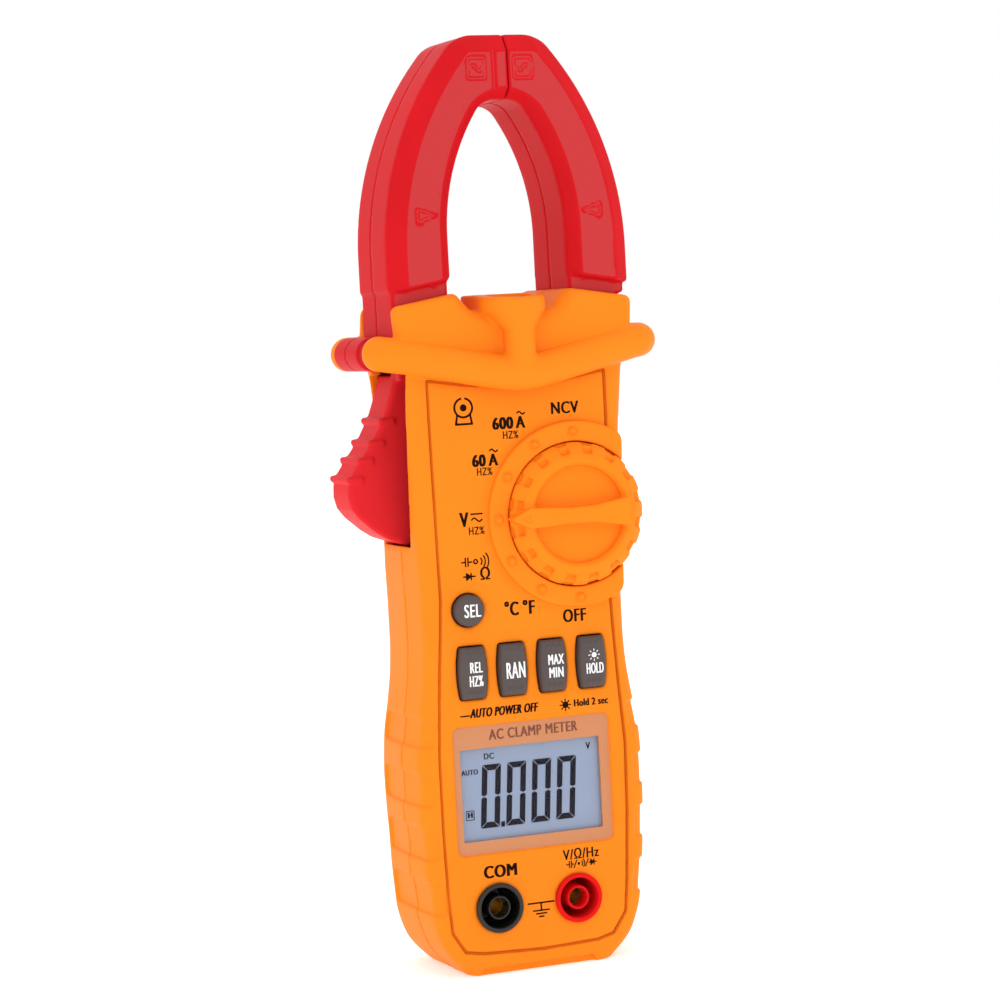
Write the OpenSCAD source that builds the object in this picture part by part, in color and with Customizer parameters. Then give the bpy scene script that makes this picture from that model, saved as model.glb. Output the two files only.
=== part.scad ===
// AC clamp meter: hinged jaws, rotary selector, push buttons, display and test-lead sockets.
// It stands upright: +Z runs along its length, its front panel faces -Y, and the covers part at Y = 0.

/* [Body] */
// Half width of the grip at its widest
grip_half_w = 27.6; // [27.2:0.1:28]
// Half width at the waist, under the buttons
waist_half_w = 24.5; // [24.3:0.1:25]
// Half width of the shoulders that hold the jaws
shoulder_half_w = 28.5; // [28.2:0.1:28.8]
// Depth of the front cover, from the parting plane to the panel
front_depth = 12; // [11.8:0.1:12.2]
// Depth of the rear cover, from the parting plane to the back
rear_depth = 18.5; // [18.3:0.1:19]
// Height of the shoulders
shoulder_z = 149; // [148:0.5:150]
// Thickness of the covers' walls
wall = 1.8; // [1.6:0.1:1.9]

/* [Guard] */
// Diameter of the finger guard
guard_d = 7.7; // [7.2:0.1:8]
// Half width between the centres of the guard's two ends
guard_half_w = 31.6; // [31:0.1:32]
// Height of the guard's ends
guard_z = 139; // [138.5:0.5:139.5]
// How far the guard dips in the middle
guard_dip = 5.9; // [5:0.1:7]

/* [Jaws] */
// Height of the closed jaws' top above the base
jaw_top_z = 207.8; // [206:0.1:210]
// Height of the top of the conductor window
window_top_z = 193.5; // [192:0.1:195]
// Half width across the outside of the jaws
jaw_half_w = 28.5; // [28.2:0.1:28.8]
// Half width of the conductor window
window_half_w = 13.9; // [13.6:0.1:14.2]
// Diameter of the hinge pin
pin_d = 4; // [3.8:0.1:4.2]

/* [Selector] */
// Diameter of the selector knob
knob_d = 31.6; // [31:0.1:32]
// Distance of the knob's centre from the middle plane
knob_x = 12.5; // [12:0.1:13]
// Height of the knob's centre
knob_z = 101.1; // [100.5:0.1:101.5]
// Number of grip notches round the knob
knob_notches = 16; // [12:1:20]

/* [Display] */
// Width of the clear window
lens_w = 37.4; // [36:0.1:38]
// Height of the clear window
lens_h = 28.7; // [27.5:0.1:29]
// Width of the visible display
view_w = 33.4; // [32:0.1:34]
// Height of the visible display
view_h = 20.6; // [19.5:0.1:21]

/* [Sockets] */
// Bore of the 4 mm test-lead sockets
jack_bore_d = 4; // [4:0.05:4.1]
// Outer diameter of a socket
jack_d = 11.2; // [10.8:0.1:11.4]
// Bore of the probe holder between the jaws
holder_d = 10; // [9:0.1:10.4]

/* [Hidden] */
$fn = 32;

orange = [1, 0.6, 0.18];
red = [0.84, 0.22, 0.24];
key_grey = [0.38, 0.36, 0.38];
steel = [0.75, 0.76, 0.78];
gap = 0.3;      // clearance round fixed pieces
run = 0.05;     // radial clearance of a running fit
eps = 0.01;

// Half width of the body at each height, measured at the parting plane.
body_profile = [
    [0, 17.2], [0.6, 18.9], [5.4, 22.9], [12, 25.4], [23, grip_half_w - 0.9], [35, grip_half_w - 0.2],
    [44, grip_half_w], [53, grip_half_w - 0.5], [60, waist_half_w + 1.3], [66, waist_half_w + 0.4],
    [72, waist_half_w], [84, waist_half_w], [100, waist_half_w + 0.5], [120, waist_half_w + 1.4],
    [138, shoulder_half_w - 0.8], [150, shoulder_half_w], [154, shoulder_half_w]
];
front_profile = [
    [0, front_depth - 2], [3, front_depth - 0.5], [5.4, front_depth], [133, front_depth],
    [137, front_depth + 2], [154, front_depth + 2]
];
rear_profile = [
    [0, rear_depth - 2.4], [4, rear_depth - 0.6], [8, rear_depth], [141, rear_depth],
    [150, rear_depth - 4.5], [154, rear_depth - 6]
];
// How far the back's edges stand out from the half width at each height.
rear_flare = [[0, 0.8], [5, 0.6], [12, 0.4], [20, 0], [30, -0.4], [90, -0.4], [110, -1.2], [134, -1.6],
    [141, -0.4], [154, -0.4]];
finger_bands = [[14.6, 22], [27, 34], [39, 46], [52, 58]];
band_depth = 0.6;
band_slope = 0.4;
// Rounding along the panel's edges, and how far these stand in from the half width.
front_r = [[0, 3.5], [133, 3.5], [139, 2], [154, 2]];
front_lean = [[0, 0.6], [133, 0.6], [139, 0], [154, 0]];
rear_r = 6.5;           // rounding along the back's edges
body_stations = concat(
    [0, 0.6, 3, 5.4, 8, 12],
    [for (b = finger_bands) for (z = [b[0] - band_slope, b[0], b[1], b[1] + band_slope]) z],
    [62, 66, 72, 84, 100, 120, 133, 137, 141, 146, 150, 154]
);
cavity_stations = [2, 5.4, 12, 23, 35, 44, 53, 60, 66, 72, 84, 100, 120, 133, 137, 143.5];

pivot_x = -19.5;
pivot_z = 139;
neck_in = window_half_w + 0.5;
neck_out = jaw_half_w - 0.9;
anchor_out = 24.5;      // outside of the fixed jaw's neck inside the covers
neck_front = 11;
neck_back = 9.4;
neck_bottom = 134;
neck_top = 154.8;
base_in = 154.4;        // height of a jaw's base on its inside
base_out = 151.9;       // and on its outside
seam_x = 1.65;          // where the closed jaws meet
jaw_front = 13.3;
jaw_back = 11.7;
jaw_wall = 1.8;
jaw_shift = 0.35;       // the closed jaws stand this far to the right of the middle plane
outer_c = [-41.2, 160];
inner_c = [-35.4, 164];
outer_r = jaw_half_w - outer_c[0];
inner_r = window_half_w - inner_c[0];
outer_end = asin((jaw_top_z - 0.8 - outer_c[1]) / outer_r);
inner_end = asin((window_top_z - inner_c[1]) / inner_r);
arc_steps = 9;

spring_r = 2.7;         // return spring: mean radius of its coil
spring_wire = 0.3;
spring_turns = 3;
spring_pitch = 0.75;
spring_y = 10.1;
spring_steps = 12;

knob_r = knob_d / 2;
rotor_r = 9.4;          // switch rotor behind the knob's well
ring_r = rotor_r + 0.7; // inside of the detent ring round it
hub_r = 4;              // knob's shaft
well_r = knob_r + 0.4;
bezel_r = 20.8;
bezel_y = front_depth + 1.2;
well_floor = 8.7;       // front of the floor under the knob
pcb_front = 3.4;
pcb_back = 1.8;
key_xs = [-13.8, -4.3, 5.2, 14.7];
key_z = 67.7;
key_size = [6.8, 11.5];
sel_pos = [-14, 81.6];
sel_r = 3.55;
key_top = front_depth + 1.5;
key_back = 8.7;
lens_pos = [-0.4, 41.5];
view_pos = [-0.8, 40.4];
lens_t = 1;
com_x = -10.3;
volt_x = 8.7;
jack_z = 15;
door_z = [20, 78];
door_half_w = 19;
bay_half_w = 12.6;
bay_z = [22.2, 71.5];
cell_d = 10.5;
cell_l = 44.5;
cell_x = 5.7;
cell_y = 11;
lower_screws = [[-16.5, 8.5], [16.5, 8.5]];
upper_screws = [[-4.5, 140], [21.5, 146.2]];
screw_seat = 13.2;      // where the case screws' heads bear
pcb_posts = [[-18.5, 24.8], [18.5, 24.8], [-18.5, 88], [18.5, 124]];
holder_y = -11.5;
holder_top = 150.8;
cup_r = 7.5;
stem_r = 3.55;

// Front guard, from its left end, over the panel, round the right side to the parting plane.
front_guard = [
    [-guard_half_w, -12, guard_z], [-17, -13.4, guard_z - 2.7], [-9, -14.4, guard_z - 4.6],
    [-4, -15, guard_z - guard_dip + 0.3], [0, -15.1, guard_z - guard_dip],
    [4, -15, guard_z - guard_dip + 0.3],
    [9, -14.4, guard_z - 4.6], [17, -13.4, guard_z - 2.7], [24, -12.7, guard_z - 1.2],
    [guard_half_w - 3.4, -12, guard_z - 0.3], [guard_half_w - 1, -10.4, guard_z],
    [guard_half_w, -7.6, guard_z]
];

// Rear guard on the right; the left one starts further back, behind the piece that moves with the jaw.
rear_guard = [
    [guard_half_w, 8, guard_z], [guard_half_w - 0.6, 11, guard_z], [guard_half_w - 2.6, 13.4, guard_z],
    [guard_half_w - 5.6, 14.7, guard_z], [guard_half_w - 10, 15, guard_z]
];
rear_guard_left = [
    [1 - guard_half_w, 12.2, guard_z], [2.6 - guard_half_w, 13.6, guard_z],
    [5.6 - guard_half_w, 14.8, guard_z], [10 - guard_half_w, 15, guard_z]
];

// Trigger, seen from the front.
trigger_outline = [
    [-23.9, 133.8], [-25.6, 128.7], [-27.1, 124.6], [-30.1, 119.3], [-33, 115.5], [-35.5, 111.9],
    [-36.1, 109.8], [-36.2, 107.3], [-35.5, 104.7], [-33.8, 102.5], [-30.4, 99.5], [-27.9, 97.8],
    [-23, 95.9], [-21.4, 96.4], [-19.6, 112], [-16, 124], [-15.2, 133.8]
];

function in_band(z) = len([for (b = finger_bands) if (z >= b[0] && z <= b[1]) 1]) > 0;
function half_w(z, inset) = lookup(z, body_profile) - inset - (in_band(z) && inset == 0 ? band_depth : 0);

// Ring of the front cover at height z, counter-clockwise seen from above.
// over is how far it passes the parting plane.
function front_ring(z, inset, over) =
    let (m = half_w(z, inset), f = lookup(z, front_profile) - min(inset, wall),
         r = max(lookup(z, front_r) - inset / 2, 0.8), s = m - lookup(z, front_lean))
    concat(
        [[-m, over, z]],
        [for (a = [0:30:90]) [-s + r - r * cos(a), -f + r - r * sin(a), z]],
        [for (a = [90:-30:0]) [s - r + r * cos(a), -f + r - r * sin(a), z]],
        [[m, over, z]]
    );

// Ring of the rear cover at height z.
function rear_ring(z, inset, over) =
    let (m = half_w(z, inset), f = lookup(z, rear_profile) - min(inset, wall), r = rear_r - inset / 2,
         s = m + lookup(z, rear_flare))
    concat(
        [[m, -over, z]],
        [for (a = [0:22.5:90]) [s - r + r * cos(a), f - r + r * sin(a), z]],
        [for (a = [90:-22.5:0]) [-s + r - r * cos(a), f - r + r * sin(a), z]],
        [[-m, -over, z]]
    );

// Solid through a list of rings that all have the same number of points.
module loft(rings) {
    n = len(rings[0]);
    last = len(rings) - 1;
    polyhedron(
        points = [for (ring = rings) for (p = ring) p],
        faces = concat(
            [[for (j = [0:n - 1]) j]],
            [[for (j = [n - 1:-1:0]) last * n + j]],
            [for (i = [0:last - 1]) for (j = [0:n - 1])
                [i * n + j, (i + 1) * n + j, (i + 1) * n + (j + 1) % n, i * n + (j + 1) % n]]
        ),
        convexity = 6
    );
}

// Box from its lowest to its highest corner.
module box(low, high) {
    translate(low) cube(high - low);
}

// Cylinder along Y at (x, z), between two values of y.
module rod(x, z, y0, y1, r, r2 = -1) {
    translate([x, y0, z]) rotate([-90, 0, 0]) cylinder(h = y1 - y0, r1 = r, r2 = r2 < 0 ? r : r2);
}

// Places children at a point [x, z] of the front panel.
module at(p) {
    translate([p[0], 0, p[1]]) children();
}

// Plate in the XZ plane, between two values of y.
module plate(y0, y1) {
    translate([0, y1, 0]) rotate([90, 0, 0]) linear_extrude(height = y1 - y0) children();
}

module rounded(size, r) {
    offset(r = r) square(size - [2 * r, 2 * r], center = true);
}

// Tube with round ends through a list of points, each [x, y, z].
module guard_tube(path, d) {
    sides = 16;
    last = len(path) - 1;
    dirs = [for (i = [0:last])
        let (v = path[min(i + 1, last)] - path[max(i - 1, 0)]) v / norm(v)];
    function around(p, dir, r) =
        let (side = [dir[1], -dir[0], 0] / norm([dir[1], -dir[0], 0]), up = cross(dir, side))
        [for (k = [0:sides - 1]) let (a = 360 * k / sides) p + r * (cos(a) * side + sin(a) * up)];
    r = d / 2;
    start_caps = [15, 40, 65];
    end_caps = [65, 40, 15];
    loft(concat(
        [for (a = start_caps) around(path[0] - dirs[0] * r * cos(a), dirs[0], r * sin(a))],
        [for (i = [0:last]) around(path[i], dirs[i], r)],
        [for (a = end_caps) around(path[last] + dirs[last] * r * cos(a), dirs[last], r * sin(a))]
    ));
}

// Upper edge of the covers: shoulders, a peak beside each jaw and a scoop between the jaws.
module cover_outline() {
    half = [[40, shoulder_z - 1.4], [28.6, shoulder_z - 0.8], [27.6, shoulder_z], [26.6, shoulder_z + 0.4],
            [13.6, 151.4], [12.6, 151], [9.8, 147.8], [6.6, 146.6]];
    polygon(concat(
        [[-40, -10], [40, -10]],
        half,
        [for (i = [len(half) - 1:-1:0]) [-half[i][0], half[i][1]]]
    ));
}

module guard_bar(y0, y1, x) {
    rod(x, guard_z, y0, y1, guard_d / 2);
}

// Room inside the covers for a jaw's neck: the moving one (side -1) is open to the left, the fixed one isn't.
module neck_pocket(side) {
    if (side < 0) {
        box([-40, -neck_front - gap, neck_bottom], [-neck_in + gap, neck_back + gap, 160]);
        box([-24.5, -neck_front - gap, neck_bottom - 0.3], [-neck_in + gap, neck_back + gap, 160]);
    } else {
        box([neck_in - gap, -neck_front - gap, neck_bottom - 0.3], [anchor_out + gap, neck_back + gap, 160]);
    }
}

// Opening for the trigger in the covers' left side; its lower edge follows the trigger's underside.
module trigger_slot(y0, y1) {
    plate(y0, y1) polygon([[-40, 103], [-30.6, 98.9], [-28, 97.3], [-23, 95.5], [-14, 95.2],
                           [-14, neck_bottom], [-40, neck_bottom]]);
}

module front_shell() {
    difference() {
        intersection() {
            loft([for (z = body_stations) front_ring(z, 0, 0)]);
            union() {
                plate(-11.2, 1) cover_outline();
                plate(-12.9, -11.1) offset(delta = -0.5) cover_outline();
                plate(-20, -12.8) offset(delta = -1.5) cover_outline();
            }
        }
        loft([for (z = cavity_stations) front_ring(z, wall + band_depth, 1)]);
        // shallow recess between the feet
        box([-15.5, -20, -1], [15.5, -10, 2.2]);
    }
}

module knob_well() {
    difference() {
        intersection() {
            rod(knob_x, knob_z, -bezel_y, -well_floor + 1.2, bezel_r);
            union() {
                rod(knob_x, knob_z, -bezel_y, -well_floor + 1.2, well_r + 1.4);
                box([-30, -bezel_y, 60], [24.4, -10.6, 130]);
            }
            box([-30, -bezel_y, 60], [24.4, 0, 130]);
        }
        rod(knob_x, knob_z, -20, -well_floor, well_r);
    }
}

// Probe holder between the jaws: a cup on a stem, bridged back over the covers.
module probe_cup() {
    translate([0, holder_y, 147.6]) cylinder(h = holder_top - 147.6, r = cup_r);
    translate([0, holder_y, 143]) cylinder(h = 4.6, r1 = stem_r, r2 = cup_r);
    translate([0, -15.5, 132]) cylinder(h = 12, r = stem_r);
    box([-cup_r, holder_y, 145], [cup_r, -1.5, holder_top]);
}

module cup_back() {
    translate([0, -1.5, 145]) cylinder(h = holder_top - 145, r = cup_r);
}

module front_cover() color(orange) {
    difference() {
        union() {
            front_shell();
            guard_tube(front_guard, guard_d);
            guard_bar(-7.6, 0, guard_half_w);
            knob_well();
            // probe holder: cup, its bridge back to the parting plane, and its stem
            probe_cup();
            intersection() {
                cup_back();
                box([-20, -20, 140], [20, 0, 160]);
            }
            for (p = lower_screws) rod(p[0], p[1], -10.5, 0, 3.2);
            rod(upper_screws[0][0], upper_screws[0][1], -12.5, 0, 3.2);
            for (p = pcb_posts) rod(p[0], p[1], -10.5, -pcb_front, 2.4);
            // detent ring behind the knob's well
            difference() {
                rod(knob_x, knob_z, -7.6, -5.2, ring_r + 1.4);
                rod(knob_x, knob_z, -8, -5, ring_r);
                box([23.2, -8, 80], [40, -5, 120]);
            }
        }
        // places of the two necks
        neck_pocket(-1);
        neck_pocket(1);
        // slot for the trigger, deeper towards the hinge
        trigger_slot(-1.4, 1);
        intersection() {
            trigger_slot(-12, 1);
            translate([-40, 0, 0]) rotate([90, 0, 90]) linear_extrude(height = 18)
                polygon([[1, 90], [-4.6, 90], [-10.6, 132], [-10.6, neck_bottom], [1, neck_bottom]]);
        }
        // display window and its seat
        at(lens_pos) plate(-20, -front_depth + lens_t) rounded([lens_w + 0.2, lens_h + 0.2], 1.6);
        at(view_pos) plate(-20, -5) square([view_w, view_h], center = true);
        // keys
        for (x = key_xs) translate([x, 0, key_z]) plate(-20, -5) key_shape(0.25);
        rod(sel_pos[0], sel_pos[1], -20, -5, sel_r + 0.25);
        // sockets
        for (x = [com_x, volt_x]) rod(x, jack_z, -20, -5, jack_d / 2 - 0.4);
        // knob
        rod(knob_x, knob_z, -20, -well_floor, well_r);
        rod(knob_x, knob_z, -20, 0, hub_r + run);
        for (a = [0:15:345]) rod(knob_x + ring_r * cos(a), knob_z + ring_r * sin(a), -7.4, -5, 0.8);
        // probe holder
        translate([0, holder_y, 146.3]) cylinder(h = 10, d = holder_d);
        translate([0, holder_y, 144.6]) cylinder(h = 3, d = 4);
        // screws and hinge pin
        for (p = lower_screws) rod(p[0], p[1], -8.5, 1, 1.5);
        rod(upper_screws[0][0], upper_screws[0][1], -8.5, 1, 1.5);
        rod(upper_screws[1][0], upper_screws[1][1], -13.2, 1, 1.5);
        for (p = pcb_posts) rod(p[0], p[1], -8, 0, 1);
        rod(pivot_x, pivot_z, -13.4, 1, pin_d / 2);
    }
}

// Barrel-shaped outline of a key, wider in the middle than at its ends.
module key_shape(grow) {
    offset(r = 1 + grow) polygon([
        for (s = [1, -1]) for (t = [-1:0.25:1])
            [s * (key_size[0] / 2 - 1 - 0.65 * t * t), s * t * (key_size[1] / 2 - 1)]
    ]);
}

module rear_shell() {
    difference() {
        intersection() {
            loft([for (z = body_stations) rear_ring(z, 0, 0)]);
            plate(-1, 30) cover_outline();
        }
        loft([for (z = cavity_stations) rear_ring(z, wall + band_depth, 1)]);
    }
}

module rear_cover() color(orange) {
    difference() {
        union() {
            rear_shell();
            guard_bar(0, 8, guard_half_w);
            guard_tube(rear_guard, guard_d);
            guard_tube(rear_guard_left, guard_d);
            intersection() {
                cup_back();
                box([-20, 0, 140], [20, 20, 160]);
            }
            for (p = lower_screws) rod(p[0], p[1], 0, rear_depth - 1.5, 3.4);
            rod(upper_screws[0][0], upper_screws[0][1], 0, rear_depth - 1.5, 3.4);
            rod(upper_screws[1][0], upper_screws[1][1], neck_back + gap, rear_depth - 1.5, 3.4);
            rod(pivot_x, pivot_z, 14, rear_depth - 1.5, 4.2);
            // battery bay and the ledge under its door
            box([-bay_half_w - wall, 3.4, bay_z[0] - wall],
                [bay_half_w + wall, rear_depth - wall, door_z[1] + 1]);
            box([-door_half_w - 1.4, 15, door_z[0] - 1.4],
                [door_half_w + 1.4, rear_depth - wall, door_z[1] + 1.4]);
        }
        neck_pocket(-1);
        neck_pocket(1);
        trigger_slot(-1, 12.6);
        // battery bay and door recess
        box([-bay_half_w, 5, bay_z[0]], [bay_half_w, 30, bay_z[1]]);
        box([-door_half_w - 0.15, rear_depth - 1.65, door_z[0] - 0.15],
            [door_half_w + 0.15, 30, door_z[1] + 0.15]);
        rod(0, 75, 6, 30, 1.2);
        for (p = concat(lower_screws, upper_screws)) {
            rod(p[0], p[1], -1, 30, 1.65);
            rod(p[0], p[1], screw_seat, 30, 3);
        }
        // seat of the return spring and far end of the hinge pin
        rod(pivot_x, pivot_z, neck_back, 13.2, spring_r + 0.7);
        rod(pivot_x, pivot_z, 10, 16.5, pin_d / 2);
    }
}

module battery_door() color(orange) {
    difference() {
        translate([0, 0, (door_z[0] + door_z[1]) / 2])
            plate(rear_depth - 1.6, rear_depth) rounded([2 * door_half_w, door_z[1] - door_z[0]], 2);
        // finger grooves
        for (k = [0:5]) box([-9, rear_depth - 0.5, 25 + 2.2 * k], [9, rear_depth + 1, 26 + 2.2 * k]);
        rod(0, 75, 0, 30, 1.5);
        rod(0, 75, rear_depth - 0.9, 30, 2.6);
    }
}

// Screw along Y with its head at the back.
module screw(x, z, y_tip, y_head, r, head_r, head_t) {
    difference() {
        union() {
            rod(x, z, y_tip, y_head - head_t + eps, r);
            rod(x, z, y_head - head_t, y_head, head_r);
        }
        box([x - head_r * 0.7, y_head - head_t * 0.45, z - 0.3], [x + head_r * 0.7, y_head + 1, z + 0.3]);
        box([x - 0.3, y_head - head_t * 0.45, z - head_r * 0.7], [x + 0.3, y_head + 1, z + head_r * 0.7]);
    }
}

module battery_door_screw() color(steel) screw(0, 75, 8, rear_depth - 0.1, 1.2, 2.4, 0.8);

module case_screws() color(steel) {
    for (p = concat(lower_screws, upper_screws))
        screw(p[0], p[1], p[0] > 20 ? -13 : -8, screw_seat + 1.82, 1.5, 2.8, 1.8);
}

module display_window() color([1, 0.85, 0.7, 0.4])
    at(lens_pos) plate(-front_depth, -front_depth + lens_t) rounded([lens_w, lens_h], 1.5);

module lcd_panel() color([0.6, 0.66, 0.75])
    at(view_pos) plate(-10.1, -8.7) square([36.4, 24.4], center = true);

module lcd_frame() color("white") {
    at(view_pos) difference() {
        plate(-8.6, -pcb_front - eps) square([38, 26], center = true);
        plate(-6, 0) square([33, 18], center = true);
        for (s = [-1, 1]) translate([0, 0, s * 11]) plate(-9, 0) square([34, 2.4], center = true);
    }
}

module zebra_strips() color([0.25, 0.25, 0.27])
    for (s = [-1, 1]) at(view_pos + [0, s * 11])
        plate(-8.65, -pcb_front - eps) square([33, 1.8], center = true);

module main_pcb() color([0.1, 0.42, 0.24]) {
    difference() {
        plate(-pcb_front, -pcb_back) polygon([[-21, 22], [21, 22], [21, 128], [-8, 128], [-21, 118]]);
        for (p = pcb_posts) rod(p[0], p[1], -5, 0, 1.2);
        rod(knob_x, knob_z, -5, 0, 2.6);
    }
}

module pcb_screws() color(steel)
    for (p = pcb_posts) screw(p[0], p[1], -7.5, -pcb_back + 1.15, 1, 2, 1.1);

module circuit_components() color([0.12, 0.12, 0.13]) {
    translate([-6, 0, 112]) plate(-pcb_back, -0.8) rounded([8, 8], 0.5);
    rod(2, 90, -pcb_back, 1.2, 4.5, 3.6);
    box([-3, -pcb_back, 58], [3, 0.2, 64]);
    box([8, -pcb_back, 60], [13, 2.6, 66]);
    rod(18, 74, -pcb_back, 3, 2);
    for (z = [30:4:50]) box([-16, -pcb_back, z], [-12.8, -1.2, z + 1.6]);
}

module tact_switches() color([0.2, 0.2, 0.22]) {
    for (p = concat([for (x = key_xs) [x, key_z]], [sel_pos])) {
        box([p[0] - 2.6, -6.6, p[1] - 2.6], [p[0] + 2.6, -pcb_front, p[1] + 2.6]);
        rod(p[0], p[1], -7.6, -6.6, 1.2);
    }
}

module buzzer() color([0.1, 0.1, 0.1]) {
    difference() {
        rod(13, 84, -pcb_back, 3.2, 6);
        rod(13, 84, 1.6, 5, 1);
    }
}

// Shrouded 4 mm socket: an outer lip and body, an inner tube, and a ring-shaped gap between them.
module socket_body(x) {
    difference() {
        union() {
            rod(x, jack_z, -front_depth - 0.7, -front_depth, jack_d / 2);
            rod(x, jack_z, -front_depth, 6.5, jack_d / 2 - 0.5);
        }
        difference() {
            rod(x, jack_z, -20, -0.5, 4.5);
            rod(x, jack_z, -front_depth - 0.2, 0, 2.75);
        }
        rod(x, jack_z, -20, -8, jack_bore_d / 2 + 0.1);
        rod(x, jack_z, -8.01, 5.2, 2.6);
    }
}

module socket_contact(x) {
    difference() {
        rod(x, jack_z, -7.95, 5.1, 2.6);
        rod(x, jack_z, -9, 4, jack_bore_d / 2);
    }
}

module com_socket() color([0.06, 0.06, 0.07]) socket_body(com_x);
module volt_socket() color([0.86, 0.2, 0.2]) socket_body(volt_x);
module com_contact() color([0.8, 0.65, 0.3]) socket_contact(com_x);
module volt_contact() color([0.8, 0.65, 0.3]) socket_contact(volt_x);

module batteries() color([0.2, 0.35, 0.3]) {
    for (s = [-1, 1]) translate([s * cell_x, cell_y, bay_z[0] + 2.4]) {
        cylinder(h = cell_l, d = cell_d);
        translate([0, 0, s > 0 ? cell_l - eps : -0.8]) cylinder(h = 0.8 + eps, r = 1.9);
    }
}

// One turn of a coil of radius r, round Z.
module coil_turn(r, wire) {
    rotate_extrude() translate([r, 0]) circle(r = wire, $fn = 16);
}

module battery_contacts() color(steel) {
    for (s = [-1, 1]) {
        box([s * cell_x - 4, 7, bay_z[0] + 0.02], [s * cell_x + 4, 15, bay_z[0] + 0.42]);
        box([s * cell_x - 4, 7, bay_z[1] - 0.42], [s * cell_x + 4, 15, bay_z[1] - 0.02]);
    }
    // springs that press on the flat ends
    for (k = [0:2]) {
        translate([cell_x, cell_y, bay_z[0] + 0.7 + 0.6 * k]) coil_turn(3.6 - 0.7 * k, 0.25);
        translate([-cell_x, cell_y, bay_z[1] - 0.7 - 0.6 * k]) coil_turn(3.6 - 0.7 * k, 0.25);
    }
}

// Section of the right jaw at station t, from 0 at its base to 1 at the end of its arcs:
// the point on the inside and the point on the outside.
function arc_section(t) =
    let (ao = outer_end * t, ai = inner_end * t)
    [inner_c + inner_r * [cos(ai), sin(ai)], outer_c + outer_r * [cos(ao), sin(ao)]];

function side_sections() = concat(
    [[[window_half_w, base_in], [jaw_half_w, base_out]], [[window_half_w, 157.2], [jaw_half_w, 156]]],
    [for (k = [1:arc_steps]) arc_section(k / arc_steps)],
    [[[3, window_top_z], [7.5, jaw_top_z]]]
);

// Sections of a jaw up to its end at end_x; the moving jaw is drawn mirrored, so its shift is reversed.
function jaw_sections(end_x, shift) = concat(
    [for (s = side_sections()) [s[0] + [shift, 0], s[1] + [shift, 0]]],
    [[[end_x, window_top_z], [end_x, jaw_top_z]]]
);

// Ring of the jaw across one section. Each point of shape is [distance, from, y]:
// from 0 counts from the inside, 1 from the outside.
function jaw_ring(section, shape) =
    let (i = section[0], o = section[1], w = norm(o - i), e = (o - i) / w)
    [for (s = shape) let (p = s[1] == 0 ? i + e * s[0] : o - e * s[0]) [p[0], s[2], p[1]]];

// Bar of rectangular section that follows the jaw between two stations.
module jaw_bar(end_x, shift, from, to, inside, outside, y0, y1) {
    sections = jaw_sections(end_x, shift);
    shape = [[outside, 1, y0], [outside, 1, y1], [inside, 0, y1], [inside, 0, y0]];
    loft([for (k = [from:to]) jaw_ring(sections[k], shape)]);
}

// Neck under a jaw. The moving one is as wide as the jaw's base and is bevelled so that it can swing;
// the fixed one narrows to fit inside the covers.
module neck(y0, y1, fixed) {
    plate(y0, y1) polygon(fixed
        ? [[neck_in, neck_bottom], [anchor_out, neck_bottom], [anchor_out, 150.9], [neck_out, 150.9],
           [neck_out, neck_top], [neck_in, neck_top]]
        : [[neck_in, neck_bottom + 3.8], [neck_in + 1.9, neck_bottom], [20.2, neck_bottom],
           [24, neck_bottom + 1.5], [neck_out, neck_bottom + 4.6], [neck_out, neck_top], [neck_in, neck_top]]);
}

module jaw_half(end_x, front, fixed) {
    shift = fixed ? jaw_shift : -jaw_shift;
    sections = jaw_sections(end_x, shift);
    last = len(sections) - 1;
    shape = front
        ? [[3.9, 1, -jaw_front], [0, 1, -10.5], [0, 1, 0], [0, 0, 0], [0, 0, -10.5], [2.6, 0, -jaw_front]]
        : [[0, 1, 0], [0, 1, 9], [3.4, 1, jaw_back], [2.6, 0, jaw_back], [0, 0, 9], [0, 0, 0]];
    difference() {
        union() {
            loft([for (s = sections) jaw_ring(s, shape)]);
            if (front) neck(-neck_front, 0, fixed);
            else neck(0, neck_back, fixed);
        }
        if (front) jaw_bar(end_x + 1.6, shift, 1, last, jaw_wall, jaw_wall, -11.5, 1);
        else jaw_bar(end_x + 1.6, shift, 1, last, jaw_wall, jaw_wall, -1, 9.9);
    }
}

module jaw_core(end_x, shift) {
    last = len(jaw_sections(end_x, shift)) - 1;
    jaw_bar(end_x + 1.7, shift, 1, last, 3.6, 3.6, -7.8, 6.2);
}

module jaw_coil(end_x, shift) {
    difference() {
        jaw_bar(end_x, shift, 2, 6, 2.1, 2.1, -10.4, 8.8);
        jaw_bar(end_x, shift, 1, 7, 3.5, 3.5, -7.9, 6.3);
    }
}

module fixed_jaw_front() color(red) difference() {
    jaw_half(seam_x + 0.1, true, true);
    rod(upper_screws[1][0], upper_screws[1][1], -20, 1, 1.65);
}

module fixed_jaw_rear() color(red) difference() {
    jaw_half(seam_x + 0.1, false, true);
    rod(upper_screws[1][0], upper_screws[1][1], -1, 20, 1.65);
}

module fixed_core() color([0.5, 0.51, 0.54]) jaw_core(seam_x + 0.1, jaw_shift);
module fixed_coil() color([0.72, 0.4, 0.2]) jaw_coil(seam_x + 0.1, jaw_shift);

module pivot_pin() color(steel) rod(pivot_x, pivot_z, -13.3, 16.4, pin_d / 2);

// Torsion spring on the hinge pin, behind the moving jaw's neck.
function spring_ring(a) =
    let (out = [cos(a), 0, sin(a)],
         c = [pivot_x, spring_y + spring_pitch * a / 360, pivot_z] + spring_r * out)
    [for (k = [0:5]) c + spring_wire * (cos(60 * k) * out + sin(60 * k) * [0, 1, 0])];

module return_spring() color(steel)
    loft([for (k = [0:spring_steps * spring_turns]) spring_ring(360 / spring_steps * k)]);

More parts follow.
